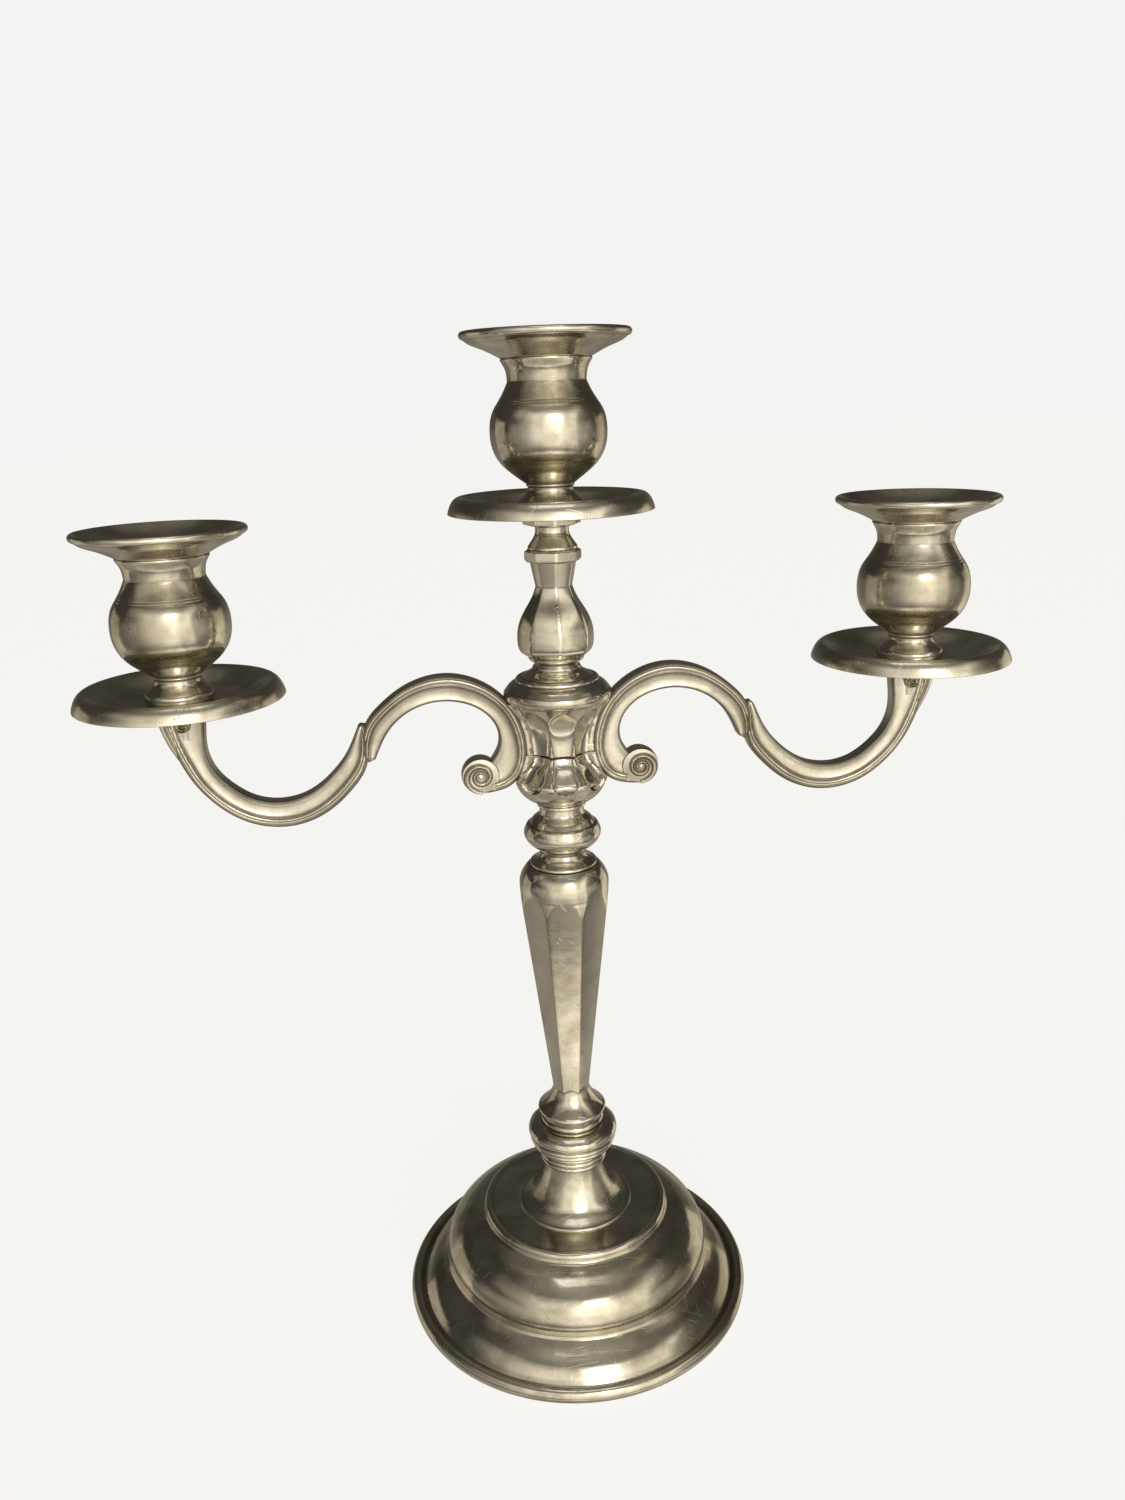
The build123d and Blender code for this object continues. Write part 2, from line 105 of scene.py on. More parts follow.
class Outline:
    """Half section of a turned piece, drawn edge by edge as (radius, height)."""

    step = 0.08

    def __init__(self, *start):
        self.points = [np.array(start, float)]

    def line(self, *ends):
        for end in ends:
            count = max(1, math.ceil(math.dist(self.points[-1], end) / self.step))
            start = self.points[-1]
            self.points += [start + (np.array(end) - start) * i / count for i in range(1, count + 1)]
        return self

    def arc(self, middle, end):
        (ax, ay), (bx, by), (cx, cy) = self.points[-1], middle, end
        d = 2 * (ax * (by - cy) + bx * (cy - ay) + cx * (ay - by))
        a2, b2, c2 = ax * ax + ay * ay, bx * bx + by * by, cx * cx + cy * cy
        ux = (a2 * (by - cy) + b2 * (cy - ay) + c2 * (ay - by)) / d
        uy = (a2 * (cx - bx) + b2 * (ax - cx) + c2 * (bx - ax)) / d
        radius = math.hypot(ax - ux, ay - uy)
        turns = np.unwrap([math.atan2(y - uy, x - ux) for x, y in ((ax, ay), (bx, by), (cx, cy))])
        count = max(6, math.ceil(abs(turns[2] - turns[0]) * radius / self.step))
        for angle in np.linspace(turns[0], turns[2], count + 1)[1:]:
            self.points.append(np.array((ux + radius * math.cos(angle), uy + radius * math.sin(angle))))
        return self

    def curve(self, *ends):
        self.points += list(spline([self.points[-1], *ends], self.step))[1:]
        return self

    def section(self, soften=0.14, longest=1.5, closed=True):
        """The outline with worn corners, dense where it bends and sparse where it is straight."""
        p = np.array(self.points)
        if closed:
            p = np.vstack([p, p[:1]])
        p = resample(p, self.step)
        reach = math.ceil(3 * soften / self.step)
        taps = np.exp(-0.5 * (np.arange(-reach, reach + 1) * self.step / soften) ** 2)
        taps /= taps.sum()
        if closed:
            p = p[:-1]
            ring = np.vstack([p[-reach:], p, p[:reach]])
        else:
            ring = np.vstack([np.repeat(p[:1], reach, 0), p, np.repeat(p[-1:], reach, 0)])
        soft = np.stack([np.convolve(c, taps, mode="valid") for c in ring.T], axis=1)
        if not closed:
            soft[0], soft[-1] = p[0], p[-1]
        heading = np.unwrap(np.arctan2(*np.diff(soft, axis=0).T[::-1]))
        kept, turned, walked = [0], 0.0, 0.0
        for i in range(1, len(soft) - 1):
            turned += abs(heading[i] - heading[i - 1])
            walked += self.step
            if turned > math.radians(5) or walked > longest:
                kept.append(i)
                turned, walked = 0.0, 0.0
        kept.append(len(soft) - 1)
        return soft[kept]


# ---------------------------------------------------------------- meshes


def mesh_object(name, points, faces, place=(0, 0, 0)):
    """A smooth mesh from points in millimetres."""
    mesh = bpy.data.meshes.new(name)
    mesh.from_pydata((np.asarray(points) * MM).tolist(), [], faces)
    mesh.validate()
    mesh.shade_smooth()
    made = bpy.data.objects.new(name, mesh)
    bpy.context.scene.collection.objects.link(made)
    made.location = Vector(place) * MM
    return made


def grid_faces(rows, columns, closed_rows):
    """Quads between neighbouring rows of a grid whose columns run round."""
    i, j = np.meshgrid(np.arange(rows if closed_rows else rows - 1), np.arange(columns), indexing="ij")
    up, on = (i + 1) % rows, (j + 1) % columns
    quads = np.stack([i * columns + j, i * columns + on, up * columns + on, up * columns + j], axis=-1)
    return quads.reshape(-1, 4)


def even_angles(count):
    return np.arange(count) * 2 * math.pi / count


def facet_angles(twist):
    """Angles round a faceted piece, close together at its edges."""
    half = math.pi / FACETS
    near = np.radians([0, 0.5, 1.0, 1.6, 2.4, 3.4, 4.8, 6.8, 9.6, 13.2, 17.6])
    one = np.concatenate([-near[:0:-1], near, [half]])
    corners = twist + half + np.arange(FACETS) * 2 * half
    return (corners[:, None] + one[None, :]).ravel()


def facet_reach(angles, twist, softness=70.0):
    """How much further than its apothem an eight-sided piece reaches, with worn edges."""
    flats = twist + np.arange(FACETS) * 2 * math.pi / FACETS
    share = np.clip(np.cos(angles[:, None] - flats[None, :]), 0, 1) ** softness
    return share.sum(axis=1) ** (-1 / softness)


def lathe(name, section, angles, place=(0, 0, 0), shape=None, closed=True):
    """Turns a section about the vertical axis. shape(angles, radius, height) gives new radii."""
    radius, height = section.T
    area = np.sum(radius * np.roll(height, -1) - np.roll(radius, -1) * height)
    if area < 0:
        radius, height = radius[::-1], height[::-1]
    reach = np.repeat(radius[:, None], len(angles), axis=1)
    if shape:
        reach = shape(angles[None, :], radius[:, None], height[:, None])
    high = np.repeat(height[:, None], len(angles), axis=1)
    points = np.stack([reach * np.cos(angles), reach * np.sin(angles), high], axis=-1).reshape(-1, 3)
    faces = grid_faces(len(radius), len(angles), closed).tolist()
    if not closed:
        last = len(points)
        top = (len(radius) - 1) * len(angles)
        points = np.vstack([points, [[0, 0, height[0]], [0, 0, height[-1]]]])
        count = len(angles)
        faces += [[last, (j + 1) % count, j] for j in range(count)]
        faces += [[last + 1, top + j, top + (j + 1) % count] for j in range(count)]
    return mesh_object(name, points, faces, place)


def tube(name, rings, place=(0, 0, 0)):
    """A closed mesh through rings of points, with a flat face at each end."""
    points = np.array(rings)
    rows, count = points.shape[:2]
    faces = grid_faces(rows, count, False).tolist()
    faces.append(list(range(count))[::-1])
    faces.append([(rows - 1) * count + j for j in range(count)])
    return mesh_object(name, points.reshape(-1, 3), faces, place)


def smooth_step(x):
    x = np.clip(x, 0, 1)
    return x * x * (3 - 2 * x)


def soft_min(a, b, blend):
    h = np.clip(0.5 + (b - a) / (2 * blend), 0, 1)
    return b * (1 - h) + a * h - blend * h * (1 - h)


def soft_max(a, b, blend):
    return -soft_min(-a, -b, blend)


def fused(name, parts):
    """One closed mesh from parts that run into each other."""
    first, *others = parts
    for other in others:
        step = first.modifiers.new(other.name, "BOOLEAN")
        step.operation = "UNION"
        step.solver = "MANIFOLD"
        step.object = other
    bpy.context.view_layer.update()
    graph = bpy.context.evaluated_depsgraph_get()
    mesh = bpy.data.meshes.new_from_object(first.evaluated_get(graph))
    mesh.transform(first.matrix_world)
    for part in parts:
        bpy.data.objects.remove(part)
    mesh.shade_smooth()
    mesh.set_sharp_from_angle(angle=math.radians(38))
    made = bpy.data.objects.new(name, mesh)
    bpy.context.scene.collection.objects.link(made)
    return made


def mark_wear(piece, rounds=4):
    """Point attributes for the finish: hollow, where tarnish stays and shade is painted, and ridge, where
    hands rub.
    """
    mesh = piece.data
    count = len(mesh.vertices)
    co, normal = np.zeros(count * 3), np.zeros(count * 3)
    mesh.vertices.foreach_get("co", co)
    mesh.vertex_normals.foreach_get("vector", normal)
    co, normal = co.reshape(-1, 3) / MM, normal.reshape(-1, 3)
    edges = np.zeros(len(mesh.edges) * 2, int)
    mesh.edges.foreach_get("vertices", edges)
    a, b = edges.reshape(-1, 2).T
    along = co[b] - co[a]
    square = np.maximum((along**2).sum(1), 1e-6)
    share = np.bincount(a, minlength=count) + np.bincount(b, minlength=count)
    share = np.maximum(share, 1)
    bend = np.bincount(a, 2 * (along * normal[a]).sum(1) / square, count)
    bend -= np.bincount(b, 2 * (along * normal[b]).sum(1) / square, count)
    bend /= share
    for _ in range(rounds):
        near = np.bincount(a, bend[b], count) + np.bincount(b, bend[a], count)
        bend = 0.5 * bend + 0.5 * near / share
    # hollow carries tarnish and painted shade into the finish
    for label, value in (("hollow", bend / 0.5), ("ridge", -bend / 0.9)):
        mark = mesh.attributes.new(label, "FLOAT", "POINT")
        mark.data.foreach_set("value", np.clip(value, 0, 1).astype(np.float32))


def mark_seams(piece, reach=0.5):
    """Adds tarnish and painted shade to hollow where a stem piece meets its neighbours."""
    count = len(piece.data.vertices)
    co = np.zeros(count * 3)
    piece.data.vertices.foreach_get("co", co)
    height = co.reshape(-1, 3)[:, 2] / MM
    near = np.minimum(height - height.min(), height.max() - height)
    mark = piece.data.attributes["hollow"]
    value = np.zeros(count, np.float32)
    mark.data.foreach_get("value", value)
    # Painted shade and tarnish along the joints between stem pieces
    value = np.maximum(value, np.exp(-((near / reach) ** 2))).astype(np.float32)
    mark.data.foreach_set("value", value)


# ---------------------------------------------------------------- foot


def base_shell():
    """Spun foot: band, groove, brim, bulging dome, stepped ring and flat top plate."""
    foot = Outline(64.8, 0.4).line((65.6, 0.4)).curve((66.0, 2.4), (64.8, 4.6), (63.3, 5.1))
    foot.arc((62.4, 4.7), (61.7, 3.5))
    foot.curve((60.2, 5.4), (56.5, 9.3), (52.6, 11.9), (51.2, 13.1))
    foot.arc((50.4, 14.1), (50.4, 15.4))
    foot.curve((50.5, 19.4), (48.8, 24.4), (44.9, 28.7), (40.2, 31.7), (36.5, 33.0))
    foot.arc((35.6, 33.6), (35.2, 34.8)).arc((34.7, 36.4), (33.6, 36.8))
    foot.line((32.6, 36.2), (BORE_RADIUS, 36.2), (BORE_RADIUS, 35.2))
    foot.line((33.8, 35.2), (34.4, 33.8), (35.4, 32.4))
    foot.curve((39.7, 30.8), (44.2, 28.0), (48.0, 23.8), (49.7, 18.9), (49.1, 13.9))
    foot.curve((52.0, 11.0), (55.8, 8.4), (59.4, 4.5), (61.7, 2.4))
    foot.arc((63.0, 3.3), (64.4, 3.4)).line((64.8, 2.8))
    return lathe("base_shell_finish", foot.section(), even_angles(320))


def felt_pad():
    """Felt under the foot: a soft-edged disc whose face is slightly uneven."""
    low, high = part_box("felt_pad")
    radius, thick = high.x / MM, (high.z - low.z) / MM
    felt = Outline(0, 0.05).line((radius - 0.5, 0.05)).arc((radius, thick / 2), (radius - 0.5, thick))
    felt.line((0, thick))

    def uneven(angle, reach, height):
        return reach * (1 + 0.0012 * np.sin(7 * angle) + 0.0009 * np.sin(23 * angle + 1.3)) + 0 * height

    section = felt.section(0.12, 3.0, False)
    return lathe("felt_pad_finish", section, even_angles(180), shape=uneven, closed=False)


# ---------------------------------------------------------------- stem


def stem_low(node):
    return 0, 0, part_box(node)[0].z / MM


def pedestal():
    """Trumpet foot of the stem with a ribbed collar at its top."""
    body = Outline(BORE_RADIUS, 0).line((22.0, 0)).arc((21.7, 0.7), (20.9, 0.7))
    body.curve((17.2, 3.0), (13.8, 8.0), (12.0, 13.8), (11.5, 18.6))
    body.arc((12.5, 19.3), (11.9, 20.4)).arc((12.6, 21.4), (11.9, 22.4)).arc((12.7, 23.3), (12.2, 24.2))
    body.line((BORE_RADIUS, 24.2))
    return lathe("pedestal_finish", body.section(), even_angles(224), stem_low("pedestal"))


def lower_knop():
    """Broad knop: round belts below, an eight-sided shoulder and a ringed neck above."""
    body = Outline(BORE_RADIUS, 0).line((12.6, 0), (14.4, 1.4)).arc((15.6, 2.2), (15.2, 3.2))
    body.arc((16.3, 4.1), (15.9, 5.2)).arc((16.9, 7.2), (16.2, 9.2))
    body.curve((14.2, 10.6), (11.3, 11.2)).arc((11.9, 12.5), (11.2, 13.5)).line((11.2, 16.0))
    body.line((BORE_RADIUS, 16.0))
    edges = facet_reach(facet_angles(COLUMN_TWIST), COLUMN_TWIST)

    def shape(angles, radius, height):
        shoulder = smooth_step((height - 6.6) / 2.4) * (height < 11.6) * (radius > BORE_RADIUS + 1)
        return radius * (1 + shoulder * 0.14 * (edges[None, :] - 1.04))

    return lathe("lower_knop_finish", body.section(longest=0.7), facet_angles(COLUMN_TWIST),
                 stem_low("lower_knop"), shape)


def column():
    """Tapered eight-sided column with a round shoulder above and a bell flare below."""
    top = 100.6
    body = Outline(BORE_RADIUS, 0).line((12.2, 0)).arc((12.8, 0.7), (12.2, 1.5))
    body.curve((9.9, 3.8), (8.0, 6.4), (6.9, 9.2), (6.6, 11.2))
    bell_rows = np.array(body.points)[np.array(body.points)[:, 0] > BORE_RADIUS + 2]
    body.line((16.2, 91.0), (16.2, 92.2)).arc((15.3, 97.0), (12.6, top)).line((BORE_RADIUS, top))
    edges = facet_reach(facet_angles(COLUMN_TWIST), COLUMN_TWIST)

    def shape(angles, radius, height):
        wall = (radius > BORE_RADIUS + 1) & (height > 1.6) & (height < top - 0.3)
        apothem = np.interp(height, (4.6, 90.6, 102.6), (6.05, 15.85, 16.65))
        flat = apothem * (1 + 0.86 * (edges[None, :] - 1))
        bell = np.interp(height, bell_rows[:, 1], bell_rows[:, 0], right=0)
        limit = np.where(height > 90.0, radius, 16.2)
        shaft = soft_min(flat, limit, 0.25)
        return np.where(wall, soft_max(shaft, bell, 0.3), radius + 0 * edges[None, :])

    return lathe("column_finish", body.section(longest=0.5), facet_angles(COLUMN_TWIST),
                 stem_low("column"), shape)


def ring_knop():
    """Collar disc, cavetto, ring knop and the neck below the hub."""
    body = Outline(BORE_RADIUS, 0).line((11.6, 0)).arc((12.0, 0.8), (11.4, 1.4))
    body.curve((9.3, 2.6), (7.9, 4.8)).arc((8.5, 6.0), (9.0, 6.4))
    body.curve((12.3, 8.9), (13.7, 12.2), (12.6, 15.2)).line((11.6, 15.6))
    body.curve((10.1, 17.6), (8.2, 19.2), (7.8, 21.8)).line((BORE_RADIUS, 21.8))
    return lathe("ring_knop_finish", body.section(), even_angles(192), stem_low("ring_knop"))


def fluting(angles, radius, inside, half_width, depth):
    """How deep the flutes cut. inside runs from 0 at a flute's round end to 1 where it is full."""
    pitch = 2 * math.pi / FLUTES
    off = np.abs((angles - FRONT + pitch / 2) % pitch - pitch / 2) * radius
    width = half_width * np.sqrt(np.clip(1 - (1 - np.clip(inside, 0, 1)) ** 2, 1e-6, 1))
    return depth * np.clip(1 - (off / width) ** 2, 0, 1) ** 0.5 * (inside > 0)


def seat_ribs(name, heights, reach, half_width, place):
    """Upright ribs that back the arms, one on each side of the hub."""
    ribs = []
    for side in (1, -1):
        loop = []
        for turn in np.linspace(0, 2 * math.pi, 40, endpoint=False):
            c, s = math.cos(turn), math.sin(turn)
            loop.append((math.copysign(abs(c) ** 0.35, c), math.copysign(abs(s) ** 0.35, s)))
        loop = np.array(loop)
        inner = 4.0
        middle, half = (reach + inner) / 2, (reach - inner) / 2
        x = side * (middle[:, None] + half[:, None] * loop[None, :, 0])
        y = half_width[:, None] * loop[None, :, 1] * (1 - 0.10 * (loop[None, :, 0] > 0.5)) * side
        z = np.repeat(heights[:, None], len(loop), axis=1)
        ribs.append(tube(f"{name}_{side}", np.stack([x, y, z], axis=-1), place))
    return ribs


def hub_lower():
    """Lower half of the hub: a cup whose flutes end round above its widest ring."""
    top = 19.7
    body = Outline(BORE_RADIUS, 0).line((8.0, 0)).arc((8.6, 0.9), (8.2, 1.5))
    body.curve((11.0, 3.0), (14.2, 5.8), (16.0, 9.4)).arc((16.5, 10.6), (15.9, 11.6))
    body.curve((13.0, 14.8), (10.9, 17.2), (10.0, top - 0.5))
    body.line((9.2, top - 0.1), (9.2, top), (BORE_RADIUS, top))

    def shape(angles, radius, height):
        wall = (radius > BORE_RADIUS + 3) * (height > 7.5)
        half = 3.6 + 1.2 * smooth_step((17.5 - height) / 7)
        cut = fluting(angles, radius, (height - 8.2) / 4.8, half, 1.6)
        return radius - cut * wall

    place = stem_low("hub_lower")
    blank = lathe("hub_lower_blank", body.section(longest=0.3), even_angles(320), place, shape)
    heights = np.linspace(9.6, top, 30)
    reach = np.interp(heights, (9.6, 11.6, 15.0, top), (15.6, 15.4, 14.2, 13.0))
    half = np.interp(heights, (9.6, 14.0, top), (3.9, 4.2, 3.9))
    return fused("hub_lower_finish", [blank, *seat_ribs("rib_low", heights, reach, half, place)])


def hub_upper():
    """Upper half of the hub: a fluted bell, a rounded roof and a stepped neck."""
    top = 31.1
    body = Outline(BORE_RADIUS, 0).line((9.2, 0), (9.2, 0.1), (10.3, 0.5))
    body.curve((10.6, 6.5), (12.7, 13.1), (16.4, 18.7))
    body.arc((18.6, 20.9), (17.8, 23.1)).curve((16.2, 24.9), (14.4, 25.9)).arc((13.9, 27.1), (12.6, 27.2))
    body.curve((10.6, 28.5), (8.6, 29.9), (8.0, top)).line((BORE_RADIUS, top))

    def shape(angles, radius, height):
        wall = (radius > BORE_RADIUS + 3) * (height < 18)
        half = 3.6 + 1.2 * smooth_step(height / 13)
        cut = fluting(angles, radius, (17.2 - height) / 5.0, half, 1.7)
        return radius - cut * wall

    place = stem_low("hub_upper")
    blank = lathe("hub_upper_blank", body.section(longest=0.3), even_angles(320), place, shape)
    heights = np.linspace(0.05, 18.5, 50)
    reach = np.interp(heights, (0, 6.5, 13.1, 18.7), (12.2, 12.6, 14.9, 18.6))
    half = np.interp(heights, (0, 12.0, 18.7), (3.0, 3.3, 4.2))
    return fused("hub_upper_finish", [blank, *seat_ribs("rib_high", heights, reach, half, place)])


def upper_piece(node, body, share, softness=70.0):
    """An eight-sided piece above the hub. share(radius, height) says how flat its sides are."""
    angles = facet_angles(UPPER_TWIST)
    past_flat = facet_reach(angles, UPPER_TWIST, softness)[None, :] - 1

    def shape(_, radius, height):
        return radius * (1 + share(radius, height) * (radius > BORE_RADIUS + 1) * past_flat)

    return lathe(f"{node}_finish", body.section(longest=0.6), angles, stem_low(node), shape)


def baluster():
    """Eight-sided pear with a waisted neck, on a round ringed foot."""
    body = Outline(BORE_RADIUS, 0).line((7.8, 0)).arc((7.5, 1.0), (8.2, 1.6)).arc((9.4, 2.3), (9.5, 3.2))
    body.curve((11.6, 5.0), (12.4, 8.4), (12.0, 13.4), (9.8, 18.8), (7.0, 23.8), (5.9, 26.8))
    body.line((7.4, 35.0), (BORE_RADIUS, 35.0))
    return upper_piece("baluster", body, lambda _, height: 0.82 * smooth_step((height - 2.9) / 1.6), 36.0)


def baluster_collar():
    """Eight-sided ring with a cavetto that rises to the thin neck under the pan seat."""
    body = Outline(BORE_RADIUS, 0).line((8.2, 0), (8.9, 0.8), (8.9, 3.4), (8.3, 4.2), (8.3, 5.0))
    body.curve((6.9, 7.0), (5.7, 9.4), (5.6, 11.6)).line((BORE_RADIUS, 11.6))
    return upper_piece("baluster_collar", body, lambda _, height: 1 - smooth_step((height - 3.6) / 0.8))


def pan_seat():
    """Eight-sided flange that carries the centre pan."""
    body = Outline(BORE_RADIUS, 0).line((6.4, 0), (9.0, 0.8), (9.0, 3.6), (BORE_RADIUS, 3.6))
    return upper_piece("pan_seat", body, lambda _, height: 1)


# ---------------------------------------------------------------- arms


VOLUTE = np.array((28.0, 212.1))
CURL = (125.4, 236.4)
SCROLL_TIP = 2.0
ARM_END = 125.3
ARM_TOP = 243.6
EYE_HEIGHT = {"right": 218.5, "left": 215.5}
BACK_INNER = [
    (66.3, 218.8), (67.5, 226.0), (66.0, 232.8), (60.9, 238.8), (53.0, 244.6), (45.5, 247.6), (37.0, 248.4),
    (27.0, 245.6), (19.0, 239.8), (13.6, 232.0), (11.3, 223.0), (12.6, 213.6), (17.6, 207.8), (27.0, 205.5),
]
BELLY_INNER = [
    (63.4, 220.4), (58.4, 230.0), (51.5, 236.2), (43.0, 239.2), (34.0, 238.8), (26.0, 235.0), (21.6, 229.0),
    (21.2, 222.4), (24.4, 216.6),
]
BACK_OUTER = [
    (65.0, 232.6), (65.9, 228.6), (65.6, 223.0), (66.8, 217.2), (71.2, 211.0), (78.6, 204.2), (88.0, 199.6),
    (98.0, 198.6), (108.4, 201.4), (117.4, 207.8), (124.4, 216.6), (129.0, 227.0), (131.8, 239.6),
    (132.2, ARM_TOP),
]
BELLY_OUTER = [
    (68.0, 233.2), (70.2, 228.2), (73.2, 222.4), (78.0, 216.6), (86.4, 210.2), (97.0, 207.8),
    (104.6, 209.4), (111.8, 214.2), (117.0, 220.6), (119.0, 227.6), (118.6, 236.0), (118.2, ARM_TOP),
]
# Half of the arm's section: distance from the back in millimetres and half thickness there
MOULDING = [
    (0.00, 0.0), (0.04, 1.1), (0.14, 2.0), (0.34, 2.75), (0.62, 3.25), (0.95, 3.48), (1.28, 3.46),
    (1.55, 3.26), (1.74, 3.04), (1.92, 3.10), (2.15, 3.32), (2.42, 3.44), (2.68, 3.36), (2.86, 3.22),
    (3.05, 3.34), (3.3, 3.56), (3.55, 3.58), (3.8, 3.44),
]
# The rest of it, in shares of the width that is left
COVE = [
    (0.05, 3.16), (0.16, 2.80), (0.32, 2.54), (0.50, 2.44), (0.68, 2.52), (0.82, 2.74), (0.90, 2.84),
    (0.96, 2.74), (1.0, 2.4), (1.02, 1.3), (1.03, 0.0),
]


def paired(back, belly, count):
    """Stations along a scroll: points on its back and the nearest points on its belly."""
    outer = resample(spline(back, 0.1), 0.1)
    at = np.linspace(0, len(outer) - 1, count)
    outer = picked(outer, at)
    inner = resample(spline(belly, 0.1), 0.1)
    nearest = np.linalg.norm(outer[:, None] - inner[None], axis=2).argmin(axis=1).astype(float)
    nearest = np.maximum.accumulate(nearest)
    share = nearest / (len(inner) - 1)
    straight = np.linspace(0, 1, count)
    share = 0.85 * share + 0.15 * straight
    taps = np.hanning(31)
    taps /= taps.sum()
    padded = np.concatenate([np.full(15, share[0]), share, np.full(15, share[-1])])
    share = np.convolve(padded, taps, mode="valid")
    share = (share - share[0]) / (share[-1] - share[0])
    at = share * (len(inner) - 1)
    return outer, picked(inner, at)


def moulding_at(width):
    """Half section of the arm for one width, as distances from the back and half thicknesses."""
    scale = min(1.0, width / 9.0)
    near = np.array(MOULDING) * (scale, 1)
    start = near[-1, 0]
    far = np.array(COVE)
    far = np.stack([start + far[:, 0] * (width - start), far[:, 1]], axis=1)
    return np.vstack([near, far])


def scroll(name, back, belly, count):
    """A C-scroll with its moulding on both faces and a round tip at its start."""
    outer, inner = paired(back, belly, count)
    length = np.concatenate([[0], np.cumsum(np.linalg.norm(np.diff((outer + inner) / 2, axis=0), axis=1))])
    rows = []
    for i in range(count):
        across = inner[i] - outer[i]
        width = np.linalg.norm(across)
        section = spline(moulding_at(width), 0.12)
        section = picked(section, np.linspace(0, len(section) - 1, 66))
        share, thick = section[:, 0] / width, section[:, 1]
        cap = math.sqrt(max(1 - max(1 - length[i] / SCROLL_TIP, 0) ** 2, 0.004))
        share = 0.5 + (share - 0.5) * cap
        thick = thick * (0.25 + 0.75 * cap) * (cap if cap < 0.3 else 1)
        flat = outer[i][None] + across[None] * share[:, None]
        front = np.stack([flat[:, 0], -thick, flat[:, 1]], axis=1)
        rear = np.stack([flat[:, 0], thick, flat[:, 1]], axis=1)[-2:0:-1]
        rows.append(np.vstack([front, rear]))
    columns = len(rows[0])
    points = np.array(rows).reshape(-1, 3)
    faces = grid_faces(count, columns, False).tolist()
    ends = np.array([rows[0].mean(axis=0), rows[-1].mean(axis=0)])
    first, last = len(points), (count - 1) * columns
    faces += [[first, (j + 1) % columns, j] for j in range(columns)]
    faces += [[first + 1, last + j, last + (j + 1) % columns] for j in range(columns)]
    return mesh_object(name, np.vstack([points, ends]), faces)


def volute(name, centre, radius, half_thick, turn_to, coils=1.5, spin=1):
    """A snail-like disc across the arm, with a spiral bead that winds in to a boss on both faces."""
    angles = even_angles(150)
    shares = np.concatenate([np.linspace(0.02, 0.9, 44), np.linspace(0.91, 1.0, 12)])
    distance, angle = np.meshgrid(shares * radius, angles, indexing="ij")
    swept = (spin * (angle - turn_to)) % (2 * math.pi)
    height = np.full_like(distance, half_thick - 1.15)
    height += 0.45 * smooth_step((1 - distance / radius) * 2.2)
    for lap in range(int(coils) + 1):
        wound = swept + lap * 2 * math.pi
        bead = radius * 0.88 * np.exp(-wound / (2 * math.pi) * 0.78)
        wide = np.maximum(0.105 * radius * np.exp(-wound / (2 * math.pi) * 0.5), 0.16)
        fade = 1 - smooth_step((wound / (2 * math.pi) - coils) * 3)
        height += 0.95 * fade * np.exp(-((distance - bead) / wide) ** 2)
    boss = 0.25 * radius
    height += 0.95 * np.clip(1 - distance / boss, 0, 1) ** 0.8
    height *= 1 - 0.55 * smooth_step((distance / radius - 0.94) / 0.06)
    x, z = centre[0] + distance * np.cos(angle), centre[1] + distance * np.sin(angle)
    near = np.stack([x, -height, z], axis=-1)
    far = np.stack([x, height, z], axis=-1)[::-1]
    points = np.vstack([near.reshape(-1, 3), far.reshape(-1, 3)])
    rows = 2 * len(shares)
    faces = grid_faces(rows, len(angles), False)[:, ::-1].tolist()
    first, last, count = len(points), (rows - 1) * len(angles), len(angles)
    tips = [[centre[0], points[0][1], centre[1]], [centre[0], -points[0][1], centre[1]]]
    faces += [[first, j, (j + 1) % count] for j in range(count)]
    faces += [[first + 1, last + (j + 1) % count, last + j] for j in range(count)]
    return mesh_object(name, np.vstack([points, tips]), faces)


def leaf(name):
    """Leaf that lies along the outside of the arm's end, with a raised vein."""
    path = spline([(126.0, 220.6), (128.6, 227.6), (130.7, 234.0), (131.7, 239.0), (131.7, 243.2)], 0.3)
    rows = []
    for share, (x, z) in zip(np.linspace(0, 1, len(path)), path):
        wide = 0.25 + 5.2 * math.sin(math.pi / 2 * min(1.0, share * 1.25)) ** 0.8
        thick = 0.25 + 1.15 * math.sin(math.pi / 2 * min(1.0, share * 2.0))
        turn = np.linspace(0, 2 * math.pi, 56, endpoint=False)
        out = np.cos(turn) * thick * (1 - 0.18 * np.cos(4 * turn)) + 0.35 * np.exp(-(np.sin(turn) * 6) ** 2)
        rows.append(np.stack([x + out, wide * np.sin(turn), np.full(len(turn), z)], axis=1))
    return tube(name, rows)


def arm_swell(name):
    """Round swelling of the arm's end under its pan."""
    body = Outline(0, 235.0).line((2.4, 235.0)).curve((4.0, 238.4), (7.2, 242.2))
    body.line((7.6, ARM_TOP), (0, ARM_TOP))
    return lathe(name, body.section(0.2, 0.8, False), even_angles(96), (ARM_END, 0, 0), closed=False)


def arm_tang(name, low):
    """Flat tang that enters the hub and ends in an eye round the tie rod."""
    eye = Outline(BORE_RADIUS, low).line((6.2, low), (6.2, low + 3.0), (BORE_RADIUS, low + 3.0))
    ring = lathe(f"{name}_eye", eye.section(0.1, 1.0), even_angles(96))
    turn = np.linspace(0, 2 * math.pi, 48, endpoint=False)
    c, s = np.cos(turn), np.sin(turn)
    y = np.sign(c) * np.abs(c) ** 0.2 * 2.95
    z = np.sign(s) * np.abs(s) ** 0.2 * 1.45 + (low + 1.5)
    rings = [np.stack([np.full(48, x), y, z], axis=1) for x in np.linspace(4.6, 14.5, 12)]
    return [ring, tube(f"{name}_bar", rings)]


